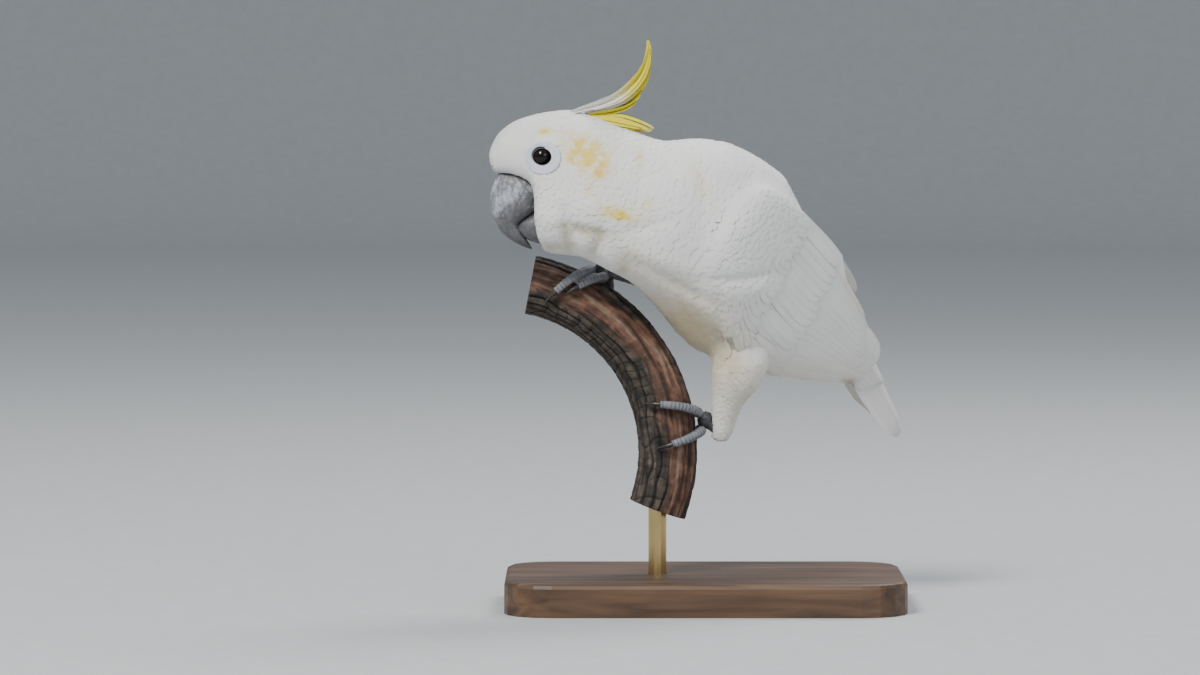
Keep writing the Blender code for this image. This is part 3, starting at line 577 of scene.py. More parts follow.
def lay_fields(hull, edges):
    """Writes on the hull what the feathers need to know at each of its points: the lie, and the length, half
    width, lift and looseness."""
    points = hull.points
    label = node_labels(points, [*FLESH, *FLIGHT])
    s, share, side = body_place(points)
    flow = body_flow(s, share, side)
    cheek = smooth(0.62, 0.3, share) * smooth(2.6, 4.2, s) * smooth(9.5, 7.0, s)
    flow = unit(flow * (1 - 0.8 * cheek[:, None]) + np.array((0.1, 0.0, -0.8)) * cheek[:, None])
    length = np.interp(s, (0, 2, 4, 6, 8, 10, 12, 14, 17), (3.6, 4.5, 6.0, 8.0, 10.5, 13.0, 15.0, 16.0, 17.0))
    length += 3.0 * cheek - 1.5 * smooth(8.0, 6.0, s) * smooth(0.6, 0.95, share)
    half = length * np.interp(s, (0, 4, 8, 14, 18), (0.26, 0.25, 0.25, 0.28, 0.28))
    lift = np.interp(s, (0, 4, 8, 12), (0.05, 0.06, 0.12, 0.15)) + 0.15 * cheek
    loose = 0.25 * cheek + 0.25 * smooth(0.2, 0.05, share) * smooth(9, 11, s)
    sizes = np.stack((length, half, lift, loose), 1)
    station = s.copy()
    for side_name, at in (("left", points), ("right", trunk_mirrored(points))):
        on = np.char.startswith(label, f"wing_{side_name}")
        ws, wt = wing_place(at[on])
        run = unit(wing_point(np.minimum(ws + 0.1, 9), wt) - wing_point(np.maximum(ws - 0.1, 0), wt))
        flow[on] = trunk_mirrored(run, free=True) if side_name == "right" else run
        length = np.interp(ws, (0, 2, 4), (6.5, 9.0, 13.0))
        sizes[on] = np.stack(alike(length, length * 0.31, 0.25, 0.0), 1)
        station[on] = WING_MARK + ws
        on = label == f"thigh_{side_name}"
        flow[on], down = thigh_flow(points[on], THIGHS[side_name])
        length = np.interp(down, (0, 0.5, 1), (12.0, 8.5, 5.0))
        sizes[on] = np.stack(alike(length, length * 0.26, 0.2, 0.05 + 0.15 * down), 1)
        station[on] = LEG_MARK + down
    for sign in (-1, 1):  # the lie parts round the bare ring of the eye
        outward = points - bent(RING[0], RING[1], sign * 16.0)
        rho = np.hypot(outward[:, 0] / RING[2], outward[:, 2] / RING[3])
        near = smooth(1.7, 0.9, rho) * (np.abs(outward[:, 1]) < 9)
        outward = unit(outward * (1, 0, 1))
        inward = np.minimum(dot(flow, outward), 0.15) - 0.15
        flow = unit(flow - outward * (inward * near)[:, None])
    hull.flow = neighbour_mean(level(flow, hull.normals), edges, 8)
    hull.sizes = neighbour_mean(sizes, edges, 8)
    hull.station, hull.label = station, label


# ---------------- colours
WHITE, WARM = np.array((0.80, 0.80, 0.79)), np.array((0.80, 0.785, 0.73))
YELLOW, PALE = np.array((0.80, 0.60, 0.04)), np.array((0.80, 0.61, 0.12))
ORANGE, OLIVE = np.array((0.80, 0.50, 0.12)), np.array((0.40, 0.35, 0.16))
# the tan is used only as painted shade, in the patches below
TAN_SHADE, BROWN = np.array((0.60, 0.49, 0.29)), np.array((0.25, 0.15, 0.07))
CREST_YELLOW = np.array((0.80, 0.69, 0.03))
# Patches of colour: x, z, half sizes, tilt in degrees, colour, strength, how much it is broken up. The tan
# patches and most olive ones are painted shade, as marked below.
PATCHES = (
    (-88.5, 262.5, 3.4, 1.8, 10, YELLOW, 1.0, 0.3), (-78.0, 261.5, 7.5, 2.2, -8, PALE, 0.30, 1.0),
    (-68.0, 253.0, 9.0, 7.0, -10, PALE, 0.95, 0.9), (-61.5, 247.5, 9.0, 8.0, -25, PALE, 0.95, 0.9),
    (-72.0, 247.0, 4.0, 3.0, 0, ORANGE, 0.45, 1.0), (-57.5, 240.5, 4.6, 3.2, 10, ORANGE, 0.95, 0.6),
    (-62.5, 231.0, 7.0, 5.0, 0, PALE, 0.26, 1.2), (-49.5, 219.5, 8.5, 3.0, -4, YELLOW, 0.95, 0.5),
    (-36.0, 248.0, 3.0, 6.0, -10, PALE, 0.36, 1.0), (-36.5, 226.0, 5.0, 2.4, 20, PALE, 0.34, 1.0),
    # painted shade: the olive patches in this row and the next three, in the grooves between the folds of the
    # throat and breast
    (-8.0, 239.0, 3.6, 9.0, 12, PALE, 0.30, 1.0), (-66.0, 209.5, 13.0, 2.8, -6, OLIVE, 0.70, 0.3),
    (-75.5, 206.0, 3.0, 9.0, 8, OLIVE, 0.55, 0.3), (-61.0, 204.0, 2.8, 9.0, -20, OLIVE, 0.55, 0.3),
    (-83.0, 199.5, 8.0, 2.4, -6, OLIVE, 0.55, 0.4), (-49.5, 189.0, 2.6, 8.0, -15, OLIVE, 0.4, 0.4),
    (-46.0, 196.0, 8.0, 9.0, 0, PALE, 0.20, 0.8), (-20.0, 186.0, 14.0, 2.2, -25, OLIVE, 0.26, 0.8),
    # painted shade: tan under the belly and the lower body and wing, olive at the wing's lower front edge
    (-15.0, 160.0, 17.0, 30.0, 35, TAN_SHADE, 0.95, 0.2), (2.0, 146.0, 8.0, 10.0, 30, OLIVE, 0.30, 0.5),
    (12.0, 118.0, 12.0, 26.0, 0, TAN_SHADE, 0.22, 0.3), (45.0, 128.0, 40.0, 14.0, 10, TAN_SHADE, 0.12, 0.2),
    # painted shade: tan lines where the thigh's feathers lie over the wing and where the near wing lies over
    # the far one; the brown smudge and the olive line along the bill's top edge are stains
    (20.0, 131.0, 12.0, 2.4, 20, TAN_SHADE, 0.45, 0.5), (75.0, 125.5, 5.0, 3.4, 10, BROWN, 0.75, 0.5),
    (79.5, 172.0, 20.0, 1.6, -57, TAN_SHADE, 0.60, 0.3), (-101.0, 235.5, 10.0, 1.6, -18, OLIVE, 0.42, 0.8),
)


def plumage(points, mottle=0.5):
    """The colour of skin and coat at these points; mottle, from 0 to 1, breaks the patches up."""
    x, z, _ = unbent(points)
    mottle = 0.35 * mottle + 0.65 * clamp(0.5 + 0.9 * wave_noise(points * (1.0, 1.0, 1.5), 0.75, 4, 17))
    # a little warm all over and warmer towards the bottom, where the extra warmth is painted shade of the
    # underside
    colour = between(WHITE, WARM, 0.25 + 0.55 * smooth(175.0, 125.0, z)[..., None])
    for px, pz, rx, rz, tilt, tint, strength, broken in PATCHES:
        amount = bump_at(x, z, px, pz, rx, rz, tilt) * strength * (1 + broken * (2 * mottle - 1))
        colour = between(colour, tint, clamp(amount, 0.0, 0.95)[..., None])
    return colour


def paint_of(sheets, uneven):
    """The plumage's colours on sheets of points, each mottled a little otherwise."""
    mottle = clamp(draw.normal(0.5, uneven, len(sheets)))
    return plumage(sheets, mottle[:, None, None])


# ---------------- feathers
class Coat:
    """Vanes gathered into one mesh. Each is closed: a sheet of points above and a keel line below. softness
    is how far the shading of a vane follows the body under it."""

    def __init__(self, name, rows, columns, softness=0.75):
        self.name, self.rows, self.columns, self.softness = name, rows, columns, softness
        self.points, self.colours, self.roots, self.facing = [], [], [], []

    def add(self, sheets, normals, colours, roots, thick, facing=None):
        """sheets is (count, rows, columns, 3), as are colours, normals is (count, rows, 3), roots (count, 2).
        facing, like sheets, is the way the coat as a whole faces, which softens the shading of each vane."""
        if facing is None:
            facing = np.broadcast_to(normals[:, :, None], sheets.shape)
        row, middle = self.rows // 2, self.columns // 2
        long = sheets[:, -1, middle] - sheets[:, 0, middle]
        turned = np.cross(sheets[:, row, -1] - sheets[:, row, 0], long)
        over = (dot(turned, normals[:, row]) < 0)[:, None, None, None]
        sheets, facing, colours = (np.where(over, v[:, :, ::-1], v) for v in (sheets, facing, colours))
        keel = sheets[:, :, middle] - normals * thick
        keels = keel, normals, colours[:, :, middle]
        lists = self.points, self.facing, self.colours
        for kept, above, below in zip(lists, (sheets, facing, colours), keels):
            kept.append(np.concatenate((above, below[:, :, None]), 2))
        self.roots.append(roots)

    def build(self):
        points, roots = np.concatenate(self.points), np.concatenate(self.roots)
        count, rows, ring = points.shape[:3]
        quads, ends = tube_faces(rows, ring)
        quads = quads.reshape(rows - 1, ring, 4)
        top, under = quads[:, :ring - 2].reshape(-1, 4), quads[:, ring - 2:].reshape(-1, 4)
        faces = repeated((top, under, ends), count, rows * ring)
        obj = mesh_object(self.name, points, faces, (1, 2), np.concatenate(self.colours))
        t = np.linspace(0, 1, rows)[:, None]
        u = np.append(np.linspace(0, 1, ring - 1), 0.5)
        vane = np.stack(alike(u, t, draw.random(count)[:, None, None]), -1)
        set_colour(obj.data, "vane", vane)
        patch = roots[:, None, None] + (vane[..., :2] - 0.5) * PATCH_SIZE
        index = taken(obj.data.loops, "vertex_index", 1, np.int32)
        layer = obj.data.uv_layers.new(name="OFBake")
        layer.data.foreach_set("uv", patch.reshape(-1, 2).astype(np.float32)[index].ravel())
        self.soften(obj.data, index[:faces[0].size])
        return obj

    def soften(self, mesh, index):
        """Turns the shading of the upper faces, whose corners come first, to that of the coat as a whole."""
        corners = taken(mesh.corner_normals, "vector", 3, np.float32)
        whole = np.concatenate(self.facing).reshape(-1, 3)
        mixed = np.zeros((len(corners), 3), np.float32)
        top = len(index)
        mixed[:top] = unit(corners[:top] * (1 - self.softness) + whole[index] * self.softness)
        mesh.normals_split_custom_set(mixed)


def vane_width(t, root=0.5, blunt=0.65):
    """The half width of a vane along its length, as a share of the widest."""
    base = between(root, 1, np.sin(np.pi / 2 * clamp(t / blunt)))
    return base * np.sqrt(clamp(1 - clamp((t - blunt) / (1.06 - blunt)) ** 2, 0.04))


def raggedness(coat, count, fray):
    """Shares that fray the edges of so many vanes."""
    noise = draw.standard_normal((count, coat.rows, coat.columns))
    return 1 + fray * noise * np.abs(np.linspace(-1, 1, coat.columns))


def spread_vanes(lines, *ways):
    """Sheets of points round centre lines, from directions along the lines and how far to go in each."""
    return sum((way[:, :, None] * amount[..., None] for way, amount in ways), lines[:, :, None])


def shaft_at(t, u):
    """How far the shaft stands out along the middle of a vane."""
    return SHAFT * (np.abs(u) < 0.05) * (1 - 0.7 * t[:, None])


def uncrumpled(sheets, normals, half):
    """True for the vanes that don't fold over and keep about their width."""
    facing = unit(np.cross(np.diff(sheets, axis=2)[:, 1:], np.diff(sheets, axis=1)[:, :, 1:]))
    facing = dot(facing, normals[:, 1:, 1:])
    facing *= np.sign(facing.sum((1, 2)))[:, None, None]
    spread = np.linalg.norm(sheets[:, :, -1] - sheets[:, :, 0], axis=-1).max(1)
    return (facing[:, :-1].min((1, 2)) > -0.1) & (spread < 2.3 * half) & (spread > 1.1 * half)


def lay(coat, hull, spots, depth, allowed):
    """Lays one small feather at each spot, along the lie of the coat, with its root so deep in the hull."""
    rows, columns, count = coat.rows, coat.columns, len(spots)
    t, u = np.linspace(0, 1, rows) ** 0.85, np.linspace(-1, 1, columns)
    length, half, lift, loose = hull.read(hull.sizes, hull.nearest(spots)[1]).T
    length = length * draw.uniform(0.85, 1.15, count)
    half = half * draw.uniform(0.85, 1.15, count)
    veer = draw.normal(0, 0.08, count)[:, None]
    place, marched = spots, []
    for step in np.diff(t, append=1.0):
        place, at = hull.nearest(place)
        normal, flow = (unit(hull.read(values, at)) for values in (hull.normals, hull.flow))
        tangent = flow * np.cos(veer) + np.cross(normal, flow) * np.sin(veer)
        tangent = unit(level(tangent, normal))
        marched.append((place, tangent, normal))
        place = place + tangent * (length * step)[:, None]
    centres, tangents, normals = (np.stack(v, 1) for v in zip(*marched))
    free = loose[:, None] * t**1.5
    straight = centres[:, :1] + tangents[:, :1] * (length[:, None] * t)[..., None]
    centres = between(centres, straight, free[..., None])
    sides = unit(np.cross(normals, tangents))
    wide = half[:, None, None]
    outwards = wide * vane_width(t)[:, None] * u * raggedness(coat, count, FRAY)
    uneven = FRAY * draw.standard_normal((count, 1, columns)) * wide * t[:, None] ** 4
    pull = uneven - 0.32 * wide * (u**2) * (t**3 * vane_width(t))[:, None]
    sheet = spread_vanes(centres, (sides, outwards), (tangents, pull))
    on, at = hull.nearest(sheet)
    normal = unit(hull.read(hull.normals, at))
    sheet = between(sheet, on, (1 - free)[:, :, None, None])
    height = draw.normal(0, 0.05, count)[:, None] - depth * (1 - t) ** 1.3 + lift[:, None] * t**2
    cup = 0.10 * wide * (u**2) * (0.3 + 0.7 * t[:, None])
    sheet = sheet + normal * (height[:, :, None] - cup)[..., None]
    keep = uncrumpled(sheet, normal, half)
    if allowed is not None:
        for row in (-1, rows // 2):
            keep &= allowed(sheet[:, row, columns // 2])
    sheet, normals, spots, normal = (v[keep] for v in (sheet, normals, spots, normal))
    coat.add(sheet, normals, paint_of(sheet, 0.25), body_roots(spots), 0.2, normal)


def body_roots(spots):
    """Places of roots on an unwrap of the body."""
    s, share, side = body_place(spots)
    angle = np.arctan2(side / 20.0, 2 * share - 1) / math.tau + 0.5
    return np.stack((0.02 + 0.66 * angle, 0.02 + 0.95 * s / (len(BODY) - 1)), -1)


def scattered(hull, where, crowd):
    """Roots spread over the part of the hull where the mask is true, closer where feathers are smaller."""
    faces = hull.faces[where[hull.faces].all(1)]
    corner = hull.points[faces]
    area = np.linalg.norm(np.cross(corner[:, 1] - corner[:, 0], corner[:, 2] - corner[:, 0]), axis=1) / 2
    gap = hull.sizes[:, 1][faces].mean(1) * crowd
    weight = area / gap**2
    tries = int(weight.sum() * 7)
    pick = draw.choice(len(faces), tries, p=weight / weight.sum())
    a, b = draw.random(tries), draw.random(tries)
    fold = a + b > 1
    a[fold], b[fold] = 1 - a[fold], 1 - b[fold]
    shares = np.stack((1 - a - b, a, b), 1)
    spots = (corner[pick] * shares[..., None]).sum(1)
    gap, cell = gap[pick], gap.max()
    cells, kept = {}, []
    for i, (spot, key) in enumerate(zip(spots, np.floor(spots / cell).astype(int).tolist())):
        a, b, c = key
        near = [j for da, db, dc in NEIGHBOURS for j in cells.get((a + da, b + db, c + dc), ())]
        if near and (((spots[near] - spot) ** 2).sum(1) < (0.5 * (gap[i] + gap[near])) ** 2).any():
            continue
        cells.setdefault(tuple(key), []).append(i)
        kept.append(i)
    return spots[kept]


def fan(coat, place, a, b, halves, rise, roots, low, high, cup,
        shingle=0.0, shift=0.0, mirror=False, flat=1.0):
    """Large feathers on a surface: place(a, b, out) gives its points, a runs along each feather's centre line
    and b, between low and high, across it. shingle lifts one edge of each above its neighbour's, cup bends
    both down, shift moves the rows, mirror puts them on the other wing, and flat evens out the shading."""
    def gradient(b):
        return place(a, b + 0.01) - place(a, b - 0.01), place(a + 0.05, b) - place(a - 0.05, b)

    t, u = np.linspace(0, 1, coat.rows), np.linspace(-1, 1, coat.columns)
    step_b, step_a = (np.linalg.norm(step, axis=-1) for step in gradient(b))
    per_a, per_b = step_a.mean(1, keepdims=True) / 0.1, step_b / 0.02
    share = vane_width(t, 0.55, 0.82)
    width = halves[:, None] * share
    b = clamp(b[..., None] + (width / per_b)[..., None] * u * raggedness(coat, len(a), LARGE_FRAY), low, high)
    a = a[..., None] - (halves[:, None] / per_a * t**5 * share)[..., None] * 0.5 * u**2
    out = rise[..., None] + shingle * u + shaft_at(t, u) - cup * np.abs(u) ** 1.6 * width[..., None]
    sheet = place(a, b, out) + shift
    b = b * flat
    facing = unit(np.cross(*gradient(b)))
    facing *= np.sign(dot(facing, place(a, b, 1.0) - place(a, b)))[..., None]
    if mirror:
        sheet, facing = trunk_mirrored(sheet), trunk_mirrored(facing, free=True)
    # painted shade along the edges and tip of each feather, times a little random tone per feather
    edge_shade_and_tone = 1 - 0.09 * smooth(0.6, 1.0, np.abs(u)) - 0.06 * smooth(0.9, 1.0, t)[:, None]
    edge_shade_and_tone = edge_shade_and_tone * draw.uniform(0.95, 1.0, len(sheet))[:, None, None]
    colours = paint_of(sheet, 0.2) * edge_shade_and_tone[..., None]
    coat.add(sheet, facing[:, :, coat.columns // 2], colours, roots, 0.4, facing)


# Rows of large wing feathers: count, s and t of the first root, of the last root, of the first tip and of the
# last tip, half width.
WING_ROWS = (
    (11, (4.4, 0.97), (4.0, 0.42), (8.55, 0.99), (8.95, 0.16), 6.5),  # primaries
    (11, (4.0, 0.60), (3.4, 0.05), (8.2, 0.55), (6.4, 0.07), 6.8),  # secondaries and tertials
    (17, (3.7, 0.80), (3.0, 0.08), (5.4, 0.95), (5.0, 0.08), 4.6),  # greater coverts
    (18, (2.9, 0.74), (2.3, 0.08), (4.2, 0.90), (3.8, 0.07), 4.2),  # median coverts
)


def wing_coat(side, hull):
    """The large feathers of a wing, moved up to the hull where they start."""
    coat = Coat(f"flight_feathers_{side}", 13, 7, 0.5)
    t = np.linspace(0, 1, coat.rows)
    mirror = side == "right"
    for count, root_a, root_b, tip_a, tip_b, half in WING_ROWS:
        k = np.linspace(0, 1, count)[:, None]
        root, tip = (between(np.array(a), b, k) for a, b in ((root_a, root_b), (tip_a, tip_b)))
        tip = tip + draw.normal(0, 1, tip.shape) * (0.05, 0.004)
        s, w = np.moveaxis(between(root[:, None], tip[:, None], t[:, None]), -1, 0)
        far_wing_shows = smooth(4.7, 5.6, s) * smooth(8.2, 7.4, s) * (not mirror)
        low = -0.01 + 0.11 * far_wing_shows
        w = np.maximum(w, low + 0.03 * (low > 0))
        spot = wing_point(s, w)
        settled = hull.nearest(trunk_mirrored(spot) if mirror else spot)[0]
        shift = (trunk_mirrored(settled) if mirror else settled) - spot
        shift *= np.minimum(1.0, 1.6 / np.maximum(np.linalg.norm(shift, axis=-1, keepdims=True), 1e-6))
        shift = (shift * smooth(8.0, 6.5, s)[..., None])[:, :, None]
        halves = half * draw.uniform(0.93, 1.07, count)
        rise = -1.0 + 1.2 * t * np.ones(s.shape)
        roots = np.stack((0.72 + 0.1248 * root[:, 1] + 0.13 * mirror, root[:, 0] / 9.5), -1)
        fan(coat, wing_point, s, w, halves, rise, roots, low[..., None], 1.01, 0.045, 0.25, shift, mirror)
    return coat


def wing_bed(side):
    """The folded inner feathers that the flight feathers lie on, as one thin closed plate."""
    mirror = side == "right"
    upper = 0.06 if mirror else 0.14
    s, t = np.meshgrid(np.linspace(4.2, 7.9, 24), np.linspace(upper, 0.94, 15), indexing="ij")
    thick = station_at(WING, s)[..., 7] * (1 - np.abs(2 * t - 1) ** 2.5)
    outer, inner = wing_point(s, t, -1.15), wing_point(s, t, -np.maximum(thick - 0.2, 1.7))
    ring = np.concatenate((outer, inner[:, ::-1]), 1)
    points = trunk_mirrored(ring) if mirror else ring
    return mesh_object(f"wing_bed_{side}", points, tube_faces(*ring.shape[:2]), (), plumage(points), mirror)


def tail_coat():
    """Twelve tail feathers, the middle pair on top, with shorter coverts over their roots."""
    coat = Coat("tail_feathers", 13, 7, 0.5)
    t = np.linspace(0, 1, coat.rows)
    order, sign = np.repeat(np.arange(6), 2), np.tile((-1.0, 1.0), 6)
    tip_v = sign * np.array((0.14, 0.28, 0.42, 0.55, 0.67, 0.78))[order]
    v = tip_v[:, None] * (0.93 + 0.07 * t)
    for root_s, tip_s, half, height, root_v in (
        (0.2, 4.95 - 0.014 * order**2, 6.6, 0.0, 0.98), (-0.3, 2.4 - 0.1 * order, 5.0, 0.9, 0.96),
    ):
        s = root_s + (tip_s[:, None] - root_s) * t
        rise = height - 0.2 * order[:, None] + 0.05 * (sign[:, None] > 0) - 0.8 * (1 - t) ** 2
        halves = half * draw.uniform(0.95, 1.05, 12)
        roots = np.stack((0.35 + 0.2 * tip_v, np.full(12, root_v)), -1)
        fan(coat, tail_point, s, v, halves, rise, roots, -1.02, 1.02, cup=0.03, flat=0.6)
    return coat


def crest_coat():
    """The crest: long narrow vanes in one close bundle that curls up, and a few that lie down the nape."""
    coat = Coat("crest_feathers", 16, 5)
    t, u = np.linspace(0, 1, coat.rows), np.linspace(-1, 1, coat.columns)
    vanes = []
    for i in range(CREST_VANES + NAPE_VANES):
        raised = i < CREST_VANES
        table = CREST if raised else NAPE
        lane, end = draw.random(), draw.uniform(0.62, 1.0)
        if i < LONG_VANES:
            lane, end = 0.3 * lane + 0.05, 1.0 - 0.1 * draw.random()
        elif raised:
            end = min(end, 1.0 - 0.66 * max(lane - 0.25, 0.0))
            lane += 0.12 * (lane > 0.85)
        start = 0.02 + 0.24 * draw.random() * raised
        run = between(start, end, t)
        row = station_at(table, run * (len(table) - 1))
        lanes = lane + 0.06 * draw.standard_normal() * t
        x, z = across(row, lanes)
        side = draw.normal(0, 2.6) * (1 - 0.75 * run) if raised else draw.uniform(-5.0, 5.0) * (1 - 0.5 * run)
        up = np.stack((row[:, 0] - row[:, 2], np.zeros(len(t)), row[:, 1] - row[:, 3]), -1)
        half = draw.uniform(1.0, 1.7) if raised else draw.uniform(0.9, 1.5)
        white = smooth(0.60, 0.34, run) * smooth(0.95, 0.55, lanes)
        white = white if raised else 0.25 * smooth(0.8, 0.9, 0.6 + 0.3 * run)
        vanes.append((bent(x, z - 2.4 * (1 - t) ** 2, side), up, half, white))
    paths, ups, halves, white = (np.array(v) for v in zip(*vanes))
    tangents = unit(np.gradient(paths, axis=1))
    ups = unit(level(ups, tangents))
    twist = draw.normal(0.0, 0.7, len(paths))[:, None, None] + np.pi / 2 * 0.85
    sides = np.cross(tangents, ups) * np.cos(twist) + ups * np.sin(twist)
    normals = np.cross(sides, tangents)
    normals *= np.where(normals[..., 1:2] > 0, -1, 1)
    width = halves[:, None] * vane_width(t, 0.3, 0.45)
    outwards = width[..., None] * u * raggedness(coat, len(paths), CREST_FRAY)
    pull = -0.5 * halves[:, None, None] * (u**2) * t[:, None] ** 5
    stand = shaft_at(t, u) - 0.2 * width[..., None] * np.abs(u) ** 1.6
    sheet = spread_vanes(paths, (sides, outwards), (tangents, pull), (normals, stand))
    shade = 0.78 + 0.22 * draw.random((len(sheet), 1, 1, 1))
    colours = between(CREST_YELLOW, WARM, white[:, :, None, None]) * shade * np.ones(sheet.shape)
    roots = np.stack((np.linspace(0.2, 0.5, len(paths)), np.full(len(paths), 0.3)), -1)
    coat.add(sheet, normals, colours, roots, 0.3)
    return coat


# ---------------- eyes and bill
def eyeball(side, sign):
    """A glossy ball with its dark iris and pupil."""
    angle, theta = np.meshgrid(circle(64), np.linspace(0, 1, 33) ** 1.1 * math.pi)
    radius = EYE_RADIUS + 0.35 * np.exp(-((theta / 0.55) ** 2))
    shape = np.stack((np.sin(theta) * np.cos(angle), sign * np.cos(theta), np.sin(theta) * np.sin(angle)), -1)
    points = (EYE_X, HEAD_Y + sign * EYE_SIDE, EYE_Z) + shape * radius[..., None]
    deg = np.degrees(theta)[..., None]
    white, iris, pupil = np.array((0.02, 0.016, 0.014)), np.array((0.010, 0.006, 0.004)), np.full(3, 0.003)
    colour = between(between(white, iris, smooth(47.0, 43.0, deg)), pupil, smooth(25.0, 22.0, deg))
    faces = [grid_faces(*angle.shape, closed=True)]
    return mesh_object(f"eyeball_{side}", points, faces, (), colour, sign < 0)


def eyelids(side, sign, head):
    """The lids and the bare ring of skin, from a thick rounded rim beside the ball to the feathers' edge."""
    a, v = circle(96), np.linspace(0, 1, 30)[:, None]
    rim = np.array((LID_RIM + 0.2 + 0.25 * np.cos(a) ** 2, LID_RIM + 0 * a))
    outer = np.array(RING[2:])[:, None] + LID_EDGE
    ways = np.array((np.cos(a), np.sin(a)))
    x, z = (
        eye + way * between(near, far, v) + (ring - eye) * v
        for eye, way, near, far, ring in zip((EYE_X, EYE_Z), ways, rim, outer, RING)
    )
    ray_from = np.stack(alike(x, HEAD_Y + sign * 60.0, z), -1)
    hits = [head.tree.ray_cast(p, (0, -sign, 0))[0] for p in ray_from.reshape(-1, 3).tolist()]
    surface = np.array([h[1] for h in hits]).reshape(x.shape)
    centre_y = HEAD_Y + sign * EYE_SIDE
    bulge = np.sqrt(clamp((EYE_RADIUS + 0.3) ** 2 - np.hypot(x - EYE_X, z - EYE_Z) ** 2, 0, None))
    beside_ball = np.maximum((centre_y + sign * bulge) * sign, surface * sign - 0.2) * sign
    y = between(surface, beside_ball, smooth(0.34, 0.0, v))
    waves = np.sin(v * 30.0 + 0.8 * np.sin(2 * a + 1.0) + 0.5 * np.sin(5 * a))
    wrinkle = 0.10 * waves * (0.6 + 0.4 * np.sin(a * 2 + 0.5)) * smooth(0.04, 0.2, v) * smooth(0.95, 0.6, v)
    y = y + sign * (wrinkle + 0.30 * np.exp(-(((v - 0.06) / 0.07) ** 2)) + 0.15 - 1.6 * smooth(0.8, 1.0, v))
    rim_x, rim_z = np.array(((EYE_X,), (EYE_Z,))) + ways * (rim + 0.1)
    rim_back = np.stack(alike(rim_x, centre_y + sign * 3.0, rim_z), -1)
    far_back = np.stack((x[-1], surface[-1] - sign * 3.0, z[-1]), -1)
    ring = np.concatenate((rim_back[None], np.stack((x, y, z), -1), far_back[None]))
    rows, columns = ring.shape[:2]
    here, after = np.arange(columns), (np.arange(columns) + 1) % columns
    last = (rows - 1) * columns
    wrap = np.stack((here + last, after + last, after, here), -1)
    shade = np.concatenate(([[0.0]], v, [[1.0]])) * np.ones(columns)
    # nearly black at the lids' margin and on the wall behind it round the ball: partly a dark lid margin,
    # partly painted shade in the socket
    skin = np.array((0.60, 0.63, 0.72)) * (1 - 0.985 * smooth(0.10, 0.05, shade)[..., None])
    faces = [grid_faces(rows, columns, closed=True), wrap]
    return mesh_object(f"eyelids_{side}", ring, faces, (), skin, sign > 0)


def bill_mesh(table, square_from, ridge, count, sides=48):
    """Rings of a mandible: its sections are narrow at the outer ridge and full towards the cutting edge."""
    row = station_at(table, np.linspace(0, len(table) - 1.0, count))[:, None]
    angle = circle(sides)[None]
    up, out = np.cos(angle), np.sin(angle)
    share = (1 + np.sign(up) * np.abs(up) ** (2 / square_from)) / 2
    wide = np.sign(out) * np.abs(out) ** (2 / square_from) * (1 + ridge * up)
    return bent(*across(row, share, 2), np.maximum(row[..., 4], 0.15) * wide)


def bill_parts():
    pale, grey, dark = np.array(((0.42, 0.44, 0.49), (0.13, 0.13, 0.14), (0.05, 0.05, 0.055)))
    points = bill_mesh(UPPER_BILL, 2.15, -0.16, 150, 96)
    x, z, _ = unbent(points)
    flakes = smooth(-0.15, 0.35, wave_noise(points * (1, 1, 0.6), 0.9, 5, 21))
    streaks = smooth(0.10, 0.40, wave_noise(points * (1.6, 1.6, 0.5), 1.7, 5, 22))
    powder_and_shade = smooth(206.0, 226.0, z) * (0.10 + 0.65 * flakes) + 0.45 * streaks * smooth(208, 220, z)
    powder_and_shade += 0.30 * bump_at(x, z, -115.0, 226.0, 4.0, 12.0)
    # greyer along the top edge, where the feathers' edge overlaps the bill: painted shade
    powder_and_shade -= 0.5 * smooth(236.0, 239.5, z + 0.35 * (x + 108))
    bare = 0.8 * bump_at(x, z, -103.0, 215.0, 6.5, 7.5, 20) + 0.6 * bump_at(x, z, -97.5, 222.0, 3.5, 6.0)
    colour = between(grey, pale, clamp(powder_and_shade - bare)[..., None])
    colour = between(colour, dark, 0.75 * smooth(207.0, 199.0, z)[..., None])
    yield mesh_object("bill_upper_horn", points, tube_faces(*points.shape[:2]), (1,), colour)
    points = bill_mesh(LOWER_BILL, 2.3, 0.1, 40)
    colour = between(grey * 0.8, dark, smooth(212.0, 218.0, unbent(points)[1])[..., None])
    yield mesh_object("bill_lower_horn", points, tube_faces(*points.shape[:2]), (1,), colour)


